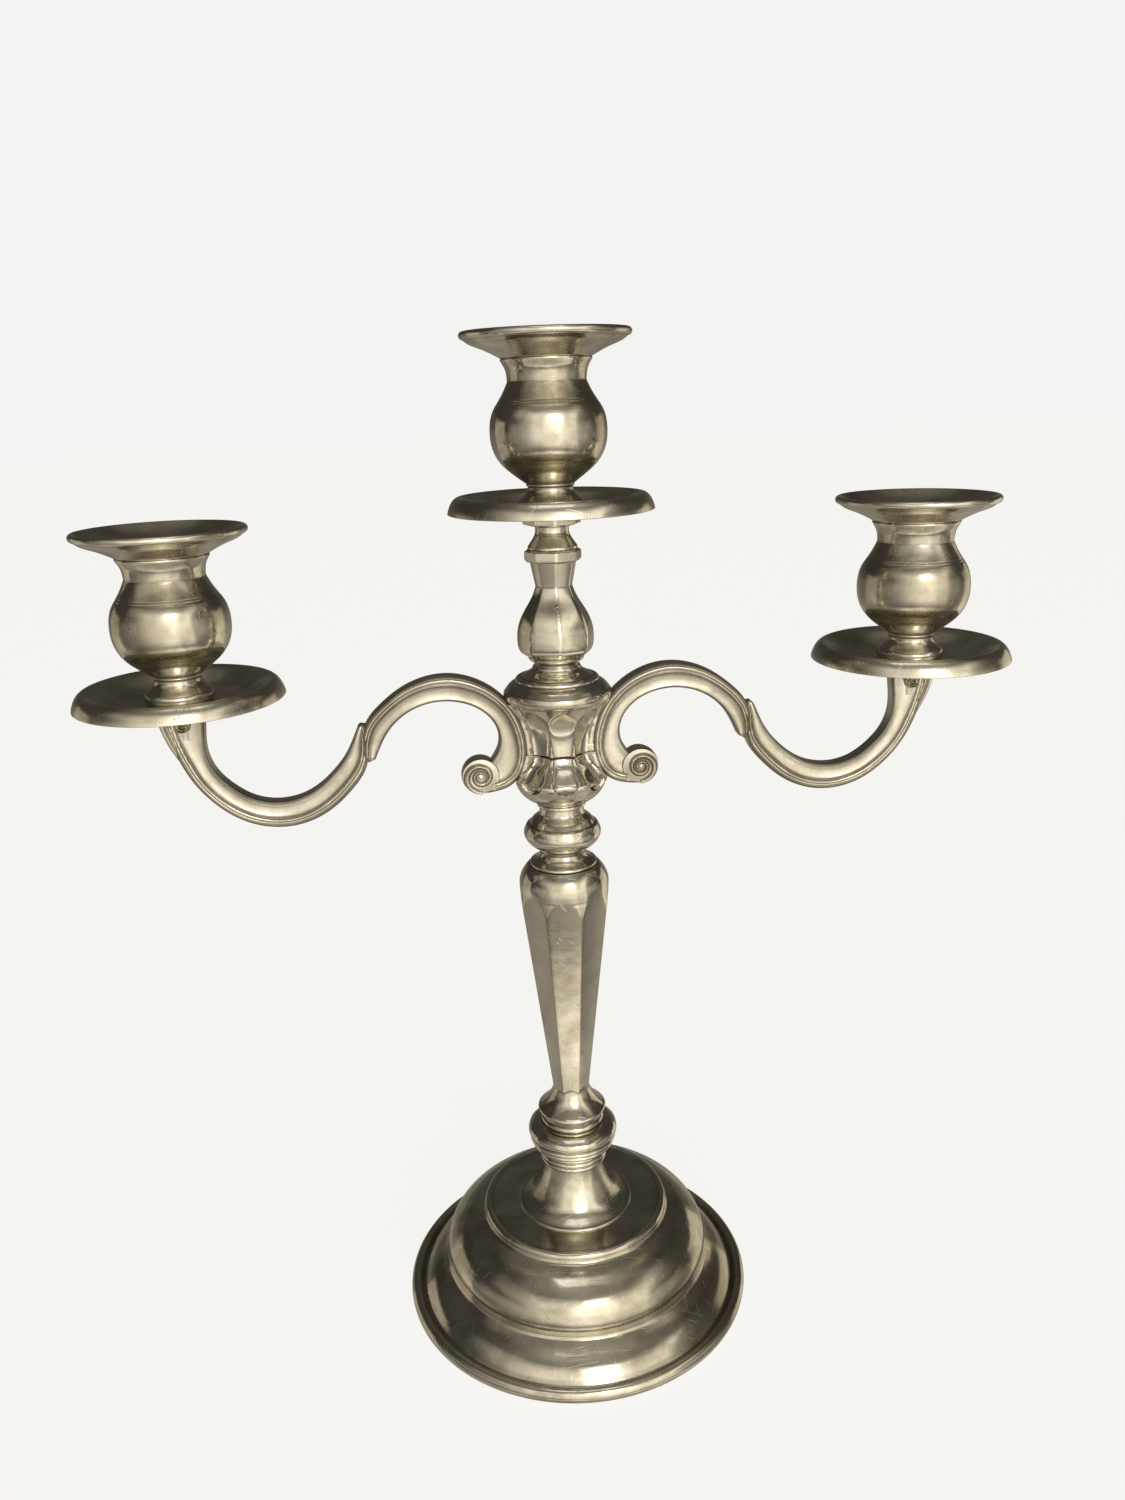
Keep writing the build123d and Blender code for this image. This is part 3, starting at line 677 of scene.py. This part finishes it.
def arm(side):
    """One arm, made pointing along +X and turned to its side."""
    name = f"arm_{side}"
    parts = [
        scroll(f"{name}_inner", BACK_INNER, BELLY_INNER, 420),
        scroll(f"{name}_outer", BACK_OUTER, BELLY_OUTER, 330),
        volute(f"{name}_volute", VOLUTE, 6.55, 4.55, -math.pi / 2),
        volute(f"{name}_curl", CURL, 2.3, 4.6, math.radians(-20), 1.2, -1),
        leaf(f"{name}_leaf"),
        arm_swell(f"{name}_swell"),
        *arm_tang(name, EYE_HEIGHT[side]),
    ]
    made = fused(f"{name}_finish", parts)
    if side == "left":
        made.data.transform(Matrix.Rotation(math.pi, 4, "Z"))
    return made


# ---------------------------------------------------------------- lights


def pan_section():
    dish = Outline(BORE_RADIUS, 0).line((15.5, 0)).curve((22.0, 1.0), (26.5, 4.2)).line((29.6, 5.5))
    dish.curve((32.0, 4.4), (33.5, 1.2)).line((34.1, 1.4))
    dish.curve((32.7, 4.9), (30.6, 6.6), (28.2, 6.0), (26.5, 5.2)).curve((21.4, 1.9), (14.5, 0.8))
    return dish.line((BORE_RADIUS, 0.8)).section(0.12)


def cup_foot_section():
    foot = Outline(BORE_RADIUS, 0.85).line((10.3, 0.85)).arc((11.5, 2.9), (10.7, 4.9))
    foot.curve((8.9, 6.3), (7.7, 7.9), (7.4, 9.2)).arc((7.9, 9.7), (7.8, 10.2))
    return foot.line((BORE_RADIUS, 10.2)).section()


ENGRAVED_RINGS = (36.2, 35.4, 17.2)


def cup_section():
    vase = Outline(BORE_RADIUS, 10.2).line((8.0, 10.2))
    vase.curve((11.6, 12.9), (15.9, 16.8), (18.5, 22.0), (19.0, 26.6), (17.8, 33.0), (14.8, 37.8),
               (12.7, 42.0))
    vase.curve((13.2, 45.6), (14.75, 48.45)).line((14.6, 48.95)).curve((13.0, 46.9), (11.95, 44.4))
    vase.line((11.95, 40.2))
    vase.curve((14.3, 37.0), (17.0, 32.6), (18.2, 26.6), (17.6, 22.0), (14.8, 17.6), (9.8, 14.0))
    vase.line((9.8, 21.65), (BORE_RADIUS, 21.65))
    outer = len(vase.points) // 2
    for point in vase.points[:outer]:
        point[0] -= sum(0.10 * math.exp(-(((point[1] - ring) / 0.18) ** 2)) for ring in ENGRAVED_RINGS)
    return vase.section(0.1, 1.2)


def nozzle_section():
    body = Outline(0, 21.7).line((11.85, 21.7), (11.85, 45.0)).curve((12.85, 47.3), (14.7, 49.1))
    body.curve((17.9, 50.8), (21.3, 52.3), (24.8, 53.8), (26.2, 54.9)).arc((27.4, 56.2), (26.3, 57.4))
    body.curve((21.4, 54.5), (14.2, 50.6), (11.25, 46.0)).line((11.25, 22.5), (0, 22.5))
    return body.section(0.12, 1.5, False)


def light_piece(kind, side, section, count, closed=True):
    low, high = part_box(f"pan_{side}")
    place = ((low.x + high.x) / 2 / MM, 0, low.z / MM)
    return lathe(f"{kind}_{side}_finish", section, even_angles(count), place, closed=closed)


# ---------------------------------------------------------------- finishes


class Shader:
    """A node tree with short ways to add the nodes that the finishes share."""

    def __init__(self, name):
        self.material = bpy.data.materials.new(name)
        self.material.use_nodes = True
        self.tree = self.material.node_tree
        self.tree.nodes.clear()
        self.output = self.node("ShaderNodeOutputMaterial")
        self.surface = self.node("ShaderNodeBsdfPrincipled")
        self.tree.links.new(self.surface.outputs["BSDF"], self.output.inputs["Surface"])
        where = self.node("ShaderNodeTexCoord").outputs["Object"]
        spot = self.node("ShaderNodeObjectInfo").outputs["Location"]
        self.local = where
        self.place = self.vector("ADD", where, spot)

    def node(self, kind, **settings):
        made = self.tree.nodes.new(kind)
        for key, value in settings.items():
            setattr(made, key, value)
        return made

    def put(self, socket, value):
        if isinstance(value, bpy.types.NodeSocket):
            self.tree.links.new(value, socket)
        else:
            socket.default_value = value

    def vector(self, operation, a, b=None):
        made = self.node("ShaderNodeVectorMath", operation=operation)
        self.put(made.inputs[0], a)
        if b is not None:
            self.put(made.inputs[1], b)
        return made.outputs[0]

    def math(self, operation, a, b=None, clamp=False):
        made = self.node("ShaderNodeMath", operation=operation, use_clamp=clamp)
        self.put(made.inputs[0], a)
        if b is not None:
            self.put(made.inputs[1], b)
        return made.outputs[0]

    def noise(self, scale, detail=3.0, rough=0.55, stretch=(1, 1, 1), shift=(0, 0, 0)):
        made = self.node("ShaderNodeTexNoise")
        moved = self.vector("ADD", self.vector("MULTIPLY", self.place, stretch), shift)
        self.put(made.inputs["Vector"], moved)
        self.put(made.inputs["Scale"], scale)
        self.put(made.inputs["Detail"], detail)
        self.put(made.inputs["Roughness"], rough)
        return made.outputs["Fac"]

    def between(self, value, low, high, start=0.0, end=1.0):
        """Maps value from low..high to start..end with a smooth slope."""
        made = self.node("ShaderNodeMapRange", interpolation_type="SMOOTHSTEP")
        for socket, number in zip(made.inputs, (value, low, high, start, end)):
            self.put(socket, number)
        return made.outputs[0]

    def mix(self, share, a, b):
        made = self.node("ShaderNodeMix", data_type="RGBA")
        self.put(made.inputs["Factor"], share)
        self.put(made.inputs[6], a)
        self.put(made.inputs[7], b)
        return made.outputs[2]

    def mark(self, name):
        return self.node("ShaderNodeAttribute", attribute_name=name).outputs["Fac"]

    def hairlines(self, fineness, along):
        """Lines that run round the piece's own axis, as a spinning lathe leaves them."""
        split = self.node("ShaderNodeSeparateXYZ")
        self.put(split.inputs[0], self.local)
        x, y, z = split.outputs
        square = self.math("ADD", self.math("MULTIPLY", x, x), self.math("MULTIPLY", y, y))
        radius = self.math("SQRT", square)
        safe = self.math("MAXIMUM", radius, 1e-4)
        join = self.node("ShaderNodeCombineXYZ")
        self.put(join.inputs[0], self.math("MULTIPLY", radius, fineness))
        self.put(join.inputs[1], self.math("MULTIPLY", z, fineness))
        self.put(join.inputs[2], self.math("MULTIPLY", self.math("DIVIDE", x, safe), along))
        made = self.node("ShaderNodeTexNoise", noise_dimensions="4D")
        self.put(made.inputs["Vector"], join.outputs[0])
        self.put(made.inputs["W"], self.math("MULTIPLY", self.math("DIVIDE", y, safe), along))
        self.put(made.inputs["Scale"], 1.0)
        self.put(made.inputs["Detail"], 2.0)
        return made.outputs["Fac"]

    def bump(self, height, distance, under=None):
        made = self.node("ShaderNodeBump")
        self.put(made.inputs["Height"], height)
        self.put(made.inputs["Distance"], distance)
        if under is not None:
            self.put(made.inputs["Normal"], under)
        return made.outputs["Normal"]


def silver(name, bright, dull, gloss, brushed, grain, wobble, specks, grime_and_shade, anisotropy=0.0):
    """Old silver plate: patchy tarnish, brown bloom, tarnish and painted shade in the hollows, rubbed edges
    and hairlines.
    """
    s = Shader(name)
    # Near-black brown for the specks, and for tarnish and painted shade in the hollows and joints
    dirt_shade_colour = (0.050, 0.042, 0.030, 1)
    bloom = (0.34, 0.27, 0.17, 1)
    cloud = s.noise(26, 5, 0.62)
    patch = s.noise(85, 4, 0.6, shift=(3.1, 0.4, 1.7))
    fine = s.noise(420, 3, 0.6, shift=(0.7, 2.2, 5.1))
    haze = s.math("ADD", s.math("MULTIPLY", cloud, 0.6), s.math("MULTIPLY", patch, 0.4))
    haze = s.between(haze, 0.38, 0.62)
    colour = s.mix(haze, bright, dull)
    colour = s.mix(s.between(patch, 0.56, 0.72, 0, 0.32), colour, bloom)
    colour = s.mix(s.between(fine, 0.52, 0.75, 0, 0.30), colour, dull)
    cells = s.node("ShaderNodeTexVoronoi")
    s.put(cells.inputs["Vector"], s.place)
    s.put(cells.inputs["Scale"], 720.0)
    spot = s.between(cells.outputs["Distance"], 0.10, 0.26, 1, 0)
    spotted = s.between(s.noise(48, 3, 0.6, shift=(5, 9, 2)), 0.60 - specks, 0.72, 0, 1)
    spotted = s.math("MULTIPLY", spot, spotted)
    colour = s.mix(s.math("MULTIPLY", spotted, 0.75), colour, dirt_shade_colour)
    scratch = s.noise(1.0, 1, 0.4, stretch=(90, 2600, 140))
    other = s.noise(1.0, 1, 0.4, stretch=(1700, 120, 260), shift=(4, 4, 4))
    scratched = s.math("ADD", s.between(scratch, 0.70, 0.74), s.between(other, 0.71, 0.75), clamp=True)
    # Painted shade: the hollow mark darkens creases, recesses and joints where shade falls, on top of
    # tarnish, and also roughens them
    dirt_and_shade = s.math("ADD", s.mark("hollow"), s.math("MULTIPLY", patch, 0.25))
    dirt_and_shade = s.between(dirt_and_shade, 0.34, 1.05, 0, grime_and_shade)
    colour = s.mix(dirt_and_shade, colour, dirt_shade_colour)
    rubbed = s.between(s.mark("ridge"), 0.15, 0.8, 0, 0.55)
    colour = s.mix(rubbed, colour, (*(min(1, part * 1.12) for part in bright[:3]), 1))
    rough = s.between(haze, 0, 1, gloss - 0.04, gloss + 0.05)
    rough = s.math("ADD", rough, s.between(fine, 0.4, 0.8, 0, 0.05))
    rough = s.math("ADD", rough, s.math("MULTIPLY", dirt_and_shade, 0.28))
    rough = s.math("ADD", rough, s.math("MULTIPLY", scratched, 0.12))
    under = s.bump(s.noise(70, 2, 0.5, shift=(8, 1, 3)), wobble)
    if grain:
        under = s.bump(s.noise(1500, 3, 0.6), grain, under)
        under = s.bump(fine, grain * 2.2, under)
    if brushed:
        lines = s.hairlines(5200, 5.0)
        broad = s.hairlines(1500, 2.5)
        colour = s.mix(s.between(lines, 0.35, 0.75, 0, 0.22 * brushed), colour, dull)
        rough = s.math("ADD", rough, s.between(broad, 0.3, 0.7, -0.05 * brushed, 0.06 * brushed))
        under = s.bump(lines, 0.000016 * brushed, under)
        under = s.bump(broad, 0.00002 * brushed, under)
    under = s.bump(scratched, 0.000012, under)
    under = s.bump(spotted, -0.00004, under)
    s.put(s.surface.inputs["Base Color"], colour)
    s.put(s.surface.inputs["Roughness"], rough)
    s.put(s.surface.inputs["Normal"], under)
    s.surface.inputs["Metallic"].default_value = 1.0
    s.surface.inputs["Anisotropic"].default_value = anisotropy
    if anisotropy:
        tangent = s.node("ShaderNodeTangent", direction_type="RADIAL", axis="Z")
        s.put(s.surface.inputs["Tangent"], tangent.outputs[0])
    return s.material


def plain_metal(name, bright, dull, gloss, grain, metallic=1.0):
    """Steel or iron that stays inside: rolled or cast, with faint rust bloom."""
    s = Shader(name)
    cloud = s.noise(120, 4, 0.6)
    fine = s.noise(1100, 3, 0.6, shift=(2, 2, 2))
    colour = s.mix(s.between(cloud, 0.35, 0.65), bright, dull)
    colour = s.mix(s.between(fine, 0.6, 0.8, 0, 0.4), colour, (0.20, 0.10, 0.05, 1))
    s.put(s.surface.inputs["Base Color"], colour)
    s.put(s.surface.inputs["Roughness"], s.between(fine, 0.3, 0.7, gloss - 0.06, gloss + 0.12))
    s.put(s.surface.inputs["Normal"], s.bump(fine, grain, s.bump(cloud, grain * 2)))
    s.surface.inputs["Metallic"].default_value = metallic
    return s.material


def felt_cloth(name):
    """Pressed wool felt: tangled fibres, pills and dust."""
    s = Shader(name)
    fibre = s.noise(2600, 4, 0.7, stretch=(1, 0.35, 1))
    cross = s.noise(2600, 4, 0.7, stretch=(0.35, 1, 1), shift=(3, 1, 2))
    tangle = s.math("ADD", fibre, cross)
    cloud = s.noise(60, 4, 0.6)
    colour = s.mix(s.between(tangle, 0.7, 1.3), (0.012, 0.030, 0.020, 1), (0.040, 0.078, 0.052, 1))
    colour = s.mix(s.between(cloud, 0.5, 0.75, 0, 0.35), colour, (0.11, 0.11, 0.085, 1))
    s.put(s.surface.inputs["Base Color"], colour)
    s.put(s.surface.inputs["Normal"], s.bump(tangle, 0.00025, s.bump(cloud, 0.0004)))
    s.surface.inputs["Roughness"].default_value = 0.95
    s.surface.inputs["Sheen Weight"].default_value = 0.5
    s.surface.inputs["Sheen Roughness"].default_value = 0.6
    return s.material


# ---------------------------------------------------------------- camera, floor and light


def camera():
    data = bpy.data.cameras.new("camera")
    data.sensor_width = SENSOR
    data.lens = LENS
    made = bpy.data.objects.new("camera", data)
    bpy.context.scene.collection.objects.link(made)
    made.matrix_world = (
        Matrix.Translation(Vector(CAMERA_PLACE) * MM)
        @ Matrix.Rotation(-CAMERA_YAW, 4, "Z")
        @ Matrix.Rotation(math.pi / 2 - CAMERA_PITCH, 4, "X")
        @ Matrix.Rotation(CAMERA_ROLL, 4, "Z")
    )
    bpy.context.scene.camera = made


def area_light(name, place, aim, width, height, power, colour=(1, 0.97, 0.92)):
    data = bpy.data.lights.new(name, "AREA")
    data.shape = "RECTANGLE"
    data.size, data.size_y = width, height
    data.energy = power
    data.color = colour
    made = bpy.data.objects.new(name, data)
    bpy.context.scene.collection.objects.link(made)
    made.location = place
    made.rotation_euler = (Vector(aim) - Vector(place)).to_track_quat("-Z", "Y").to_euler()
    made.visible_camera = False


def studio():
    """Pale floor and backdrop, a front key, a soft top light and the room that the silver mirrors."""
    floor_material = Shader("pale_floor")
    floor_material.surface.inputs["Base Color"].default_value = (0.16, 0.158, 0.155, 1)
    floor_material.surface.inputs["Roughness"].default_value = 0.95
    floor_material.surface.inputs["Specular IOR Level"].default_value = 0.0
    floor_material.surface.inputs["Emission Color"].default_value = (0.93, 0.925, 0.91, 1)
    floor_material.surface.inputs["Emission Strength"].default_value = 0.92
    reach = 9.0
    ring = even_angles(96)
    points = [(reach * math.cos(a), reach * math.sin(a), 0) for a in ring]
    floor = mesh_object("floor", np.array(points) / MM, [list(range(len(ring)))])
    floor.data.materials.append(floor_material.material)
    floor.visible_glossy = False

    tree_material = bpy.data.materials.new("pale_backdrop")
    tree_material.use_nodes = True
    tree = tree_material.node_tree
    tree.nodes.clear()
    glow = tree.nodes.new("ShaderNodeEmission")
    glow.inputs["Color"].default_value = (0.93, 0.925, 0.91, 1)
    glow.inputs["Strength"].default_value = 0.965
    out = tree.nodes.new("ShaderNodeOutputMaterial")
    tree.links.new(glow.outputs[0], out.inputs["Surface"])
    wall = np.array([(reach, -0.05), (reach, reach * 0.5), (reach * 0.7, reach * 0.9), (0.01, reach)])
    points = [(r * math.cos(a), r * math.sin(a), z) for r, z in wall for a in ring]
    faces = grid_faces(len(wall), len(ring), False).tolist()
    backdrop = mesh_object("backdrop", np.array(points) / MM, faces)
    backdrop.data.materials.append(tree_material)
    backdrop.visible_diffuse = backdrop.visible_glossy = backdrop.visible_shadow = False
    backdrop.visible_transmission = backdrop.visible_volume_scatter = False

    room_light()
    area_light("key", (0.24, -1.45, 1.10), (0, 0, 0.20), 0.54, 0.40, 2.6)
    area_light("top", (0.0, -0.35, 1.75), (0, 0, 0.1), 0.8, 0.5, 1.1)
    bpy.context.scene.view_settings.view_transform = "Standard"


def room_light():
    """The room that the silver mirrors: a pale front that fades into dim sides, and a dark back."""
    world = bpy.data.worlds.new("room")
    bpy.context.scene.world = world
    world.use_nodes = True
    tree = world.node_tree
    tree.nodes.clear()
    where = tree.nodes.new("ShaderNodeTexCoord").outputs["Generated"]
    split = tree.nodes.new("ShaderNodeSeparateXYZ")
    tree.links.new(where, split.inputs[0])

    def ramp(source, stops, interpolation="EASE"):
        """Grey levels by one component of a direction, from -1 to 1."""
        made = tree.nodes.new("ShaderNodeValToRGB")
        made.color_ramp.interpolation = interpolation
        fill_ramp(made.color_ramp, stops)
        span = tree.nodes.new("ShaderNodeMapRange")
        span.inputs["From Min"].default_value, span.inputs["From Max"].default_value = -1, 1
        tree.links.new(source, span.inputs[0])
        tree.links.new(span.outputs[0], made.inputs[0])
        return made.outputs[0]

    def blend(kind, factor, a, b):
        made = tree.nodes.new("ShaderNodeMix")
        made.data_type, made.blend_type = "RGBA", kind
        for socket, value in ((made.inputs["Factor"], factor), (made.inputs[6], a), (made.inputs[7], b)):
            if isinstance(value, bpy.types.NodeSocket):
                tree.links.new(value, socket)
            else:
                socket.default_value = value
        return made.outputs[2]

    pale = ramp(split.outputs["Z"], [
        (-1.0, 0.22), (-0.86, 0.26), (-0.76, 0.44), (-0.71, 0.74), (-0.675, 0.74), (-0.64, 0.20),
        (-0.56, 0.24), (-0.46, 0.56), (-0.34, 0.82), (-0.08, 0.82), (0.06, 1.0), (0.48, 1.0),
        (0.58, 0.80), (0.68, 0.46), (0.76, 0.18), (0.84, 0.18), (0.92, 0.24), (1.0, 0.18),
    ])
    dim = ramp(split.outputs["Z"], [
        (-1.0, 0.22), (-0.72, 0.30), (-0.675, 0.28), (-0.65, 0.05), (-0.40, 0.08), (-0.10, 0.22),
        (0.06, 0.20), (0.28, 0.06), (0.88, 0.08), (1.0, 0.16),
    ])
    dark = ramp(split.outputs["Z"], [
        (-1.0, 0.26), (-0.66, 0.20), (-0.25, 0.12), (-0.05, 0.09), (0.03, 0.034), (0.75, 0.034),
        (0.90, 0.08), (1.0, 0.16),
    ])
    across = ramp(split.outputs["X"], [
        (-0.95, 0.0), (-0.80, 0.20), (-0.66, 0.38), (-0.52, 0.58), (-0.34, 0.62), (-0.20, 0.90), (0.0, 1.0),
        (0.36, 1.0), (0.42, 0.66), (0.48, 0.54), (0.62, 0.62), (0.72, 0.56), (0.80, 0.12), (0.95, 0.0),
    ])
    ahead = ramp(split.outputs["Y"], [(-0.30, 1.0), (0.12, 0.0)])
    beside = ramp(split.outputs["Y"], [(0.18, 0.0), (0.20, 1.0), (0.66, 1.0), (0.70, 0.1)])
    level = ramp(split.outputs["Z"], [(-0.50, 0.0), (-0.46, 1.0), (0.17, 1.0), (0.22, 0.0)])
    window = blend("MULTIPLY", 1.0, beside, level)
    window = blend("MULTIPLY", 1.0, window, ramp(split.outputs["X"], [(-0.3, 0.20), (0.3, 0.28)]))
    room = blend("MIX", ahead, dark, dim)
    room = blend("MIX", blend("MULTIPLY", 1.0, ahead, across), room, pale)
    room = blend("ADD", 1.0, room, window)
    room = blend("MULTIPLY", 1.0, room, ramp(split.outputs["X"], [(-1.0, 0.80), (0.6, 1.0)]))
    clutter = tree.nodes.new("ShaderNodeTexNoise")
    clutter.inputs["Scale"].default_value = 2.4
    clutter.inputs["Detail"].default_value = 2.0
    tree.links.new(where, clutter.inputs["Vector"])
    shade = ramp(clutter.outputs["Fac"], [(0.0, 0.78), (0.40, 0.78), (0.58, 1.0)])
    room = blend("MULTIPLY", 1.0, room, shade)
    background = tree.nodes.new("ShaderNodeBackground")
    background.inputs["Strength"].default_value = 2.15
    tree.links.new(room, background.inputs["Color"])
    out = tree.nodes.new("ShaderNodeOutputWorld")
    tree.links.new(background.outputs[0], out.inputs["Surface"])


def fill_ramp(ramp, stops):
    """Grey stops, slightly warm."""
    while len(ramp.elements) < len(stops):
        ramp.elements.new(0.5)
    for element, (at, grey) in zip(ramp.elements, stops):
        element.position = (at + 1) / 2
        element.color = (grey, grey * 0.975, grey * 0.92, 1)


# ---------------------------------------------------------------- assembly


def place_piece(piece, node, body, material, seams=False):
    piece.data.materials.clear()
    piece.data.materials.append(material)
    mark_wear(piece)
    if seams:
        mark_seams(piece)
    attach(piece, body)
    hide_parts(node)


def main():
    camera()
    studio()
    bright, dull, stem_dull = (0.77, 0.735, 0.64, 1), (0.50, 0.466, 0.375, 1), (0.62, 0.585, 0.49, 1)
    cast_bright, cast_dull = (0.81, 0.78, 0.69, 1), (0.56, 0.525, 0.44, 1)
    finishes = {
        "base_silver": (bright, dull, 0.11, 0.5, 0, 0.00018, 0.05, 0.3, 0.2),
        "stem_silver": (bright, stem_dull, 0.08, 0.3, 0, 0.00012, 0.0, 0.65),
        "cast_silver": (cast_bright, cast_dull, 0.29, 0, 0.00002, 0.00024, 0.0, 0.7),
        "pan_silver": (bright, dull, 0.20, 0.5, 0, 0.0002, 0.03, 0.5),
        "cup_silver": (bright, dull, 0.14, 0.8, 0, 0.00018, 0.02, 0.35, 0.3),
        "trumpet_silver": (bright, dull, 0.19, 0.8, 0, 0.00014, 0.0, 0.4, 0.3),
    }
    finishes = {name: silver(name, *values) for name, values in finishes.items()}
    for make in (base_shell, pedestal, lower_knop, column, ring_knop, hub_lower, hub_upper, baluster,
                 baluster_collar, pan_seat):
        slot_name = "base_silver" if make in (base_shell, pedestal) else "stem_silver"
        finish = finishes["trumpet_silver" if make is pedestal else slot_name]
        place_piece(make(), make.__name__, "root", finish, make is not base_shell)
    for side in ("left", "right"):
        place_piece(arm(side), f"arm_{side}", "root", finishes["cast_silver"])
    lights = {
        "pan": (pan_section(), 256, "pan_silver", "root"),
        "cup_foot": (cup_foot_section(), 160, "cup_silver", "cup"),
        "cup": (cup_section(), 224, "cup_silver", "cup"),
        "nozzle": (nozzle_section(), 224, "cup_silver", "nozzle"),
    }
    for side in SIDES:
        for kind, (section, count, slot_name, body) in lights.items():
            made = light_piece(kind, side, section, count, kind != "nozzle")
            carrier = body if body == "root" else f"{body}_{side}"
            place_piece(made, f"{kind}_{side}", carrier, finishes[slot_name], kind == "cup_foot")
    felt = felt_pad()
    place_piece(felt, "felt_pad", "root", felt_cloth("felt"))
    hidden = {
        plain_metal("steel", (0.62, 0.60, 0.56, 1), (0.42, 0.40, 0.37, 1), 0.32, 0.00002):
            ("base_nut", "tie_rod", "hub_nut", "top_rod", "arm_stud_right", "arm_stud_left"),
        plain_metal("steel_sheet", (0.58, 0.57, 0.54, 1), (0.36, 0.35, 0.33, 1), 0.38, 0.00002):
            ("base_cover", "base_washer"),
        plain_metal("ballast_iron", (0.17, 0.155, 0.145, 1), (0.09, 0.08, 0.072, 1), 0.62, 0.00012, 0.8):
            ("base_weight",),
    }
    for material, nodes in hidden.items():
        for node in nodes:
            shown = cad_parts[node]
            shown.data.materials.clear()
            shown.data.materials.append(material)


main()
bpy.context.view_layer.update()
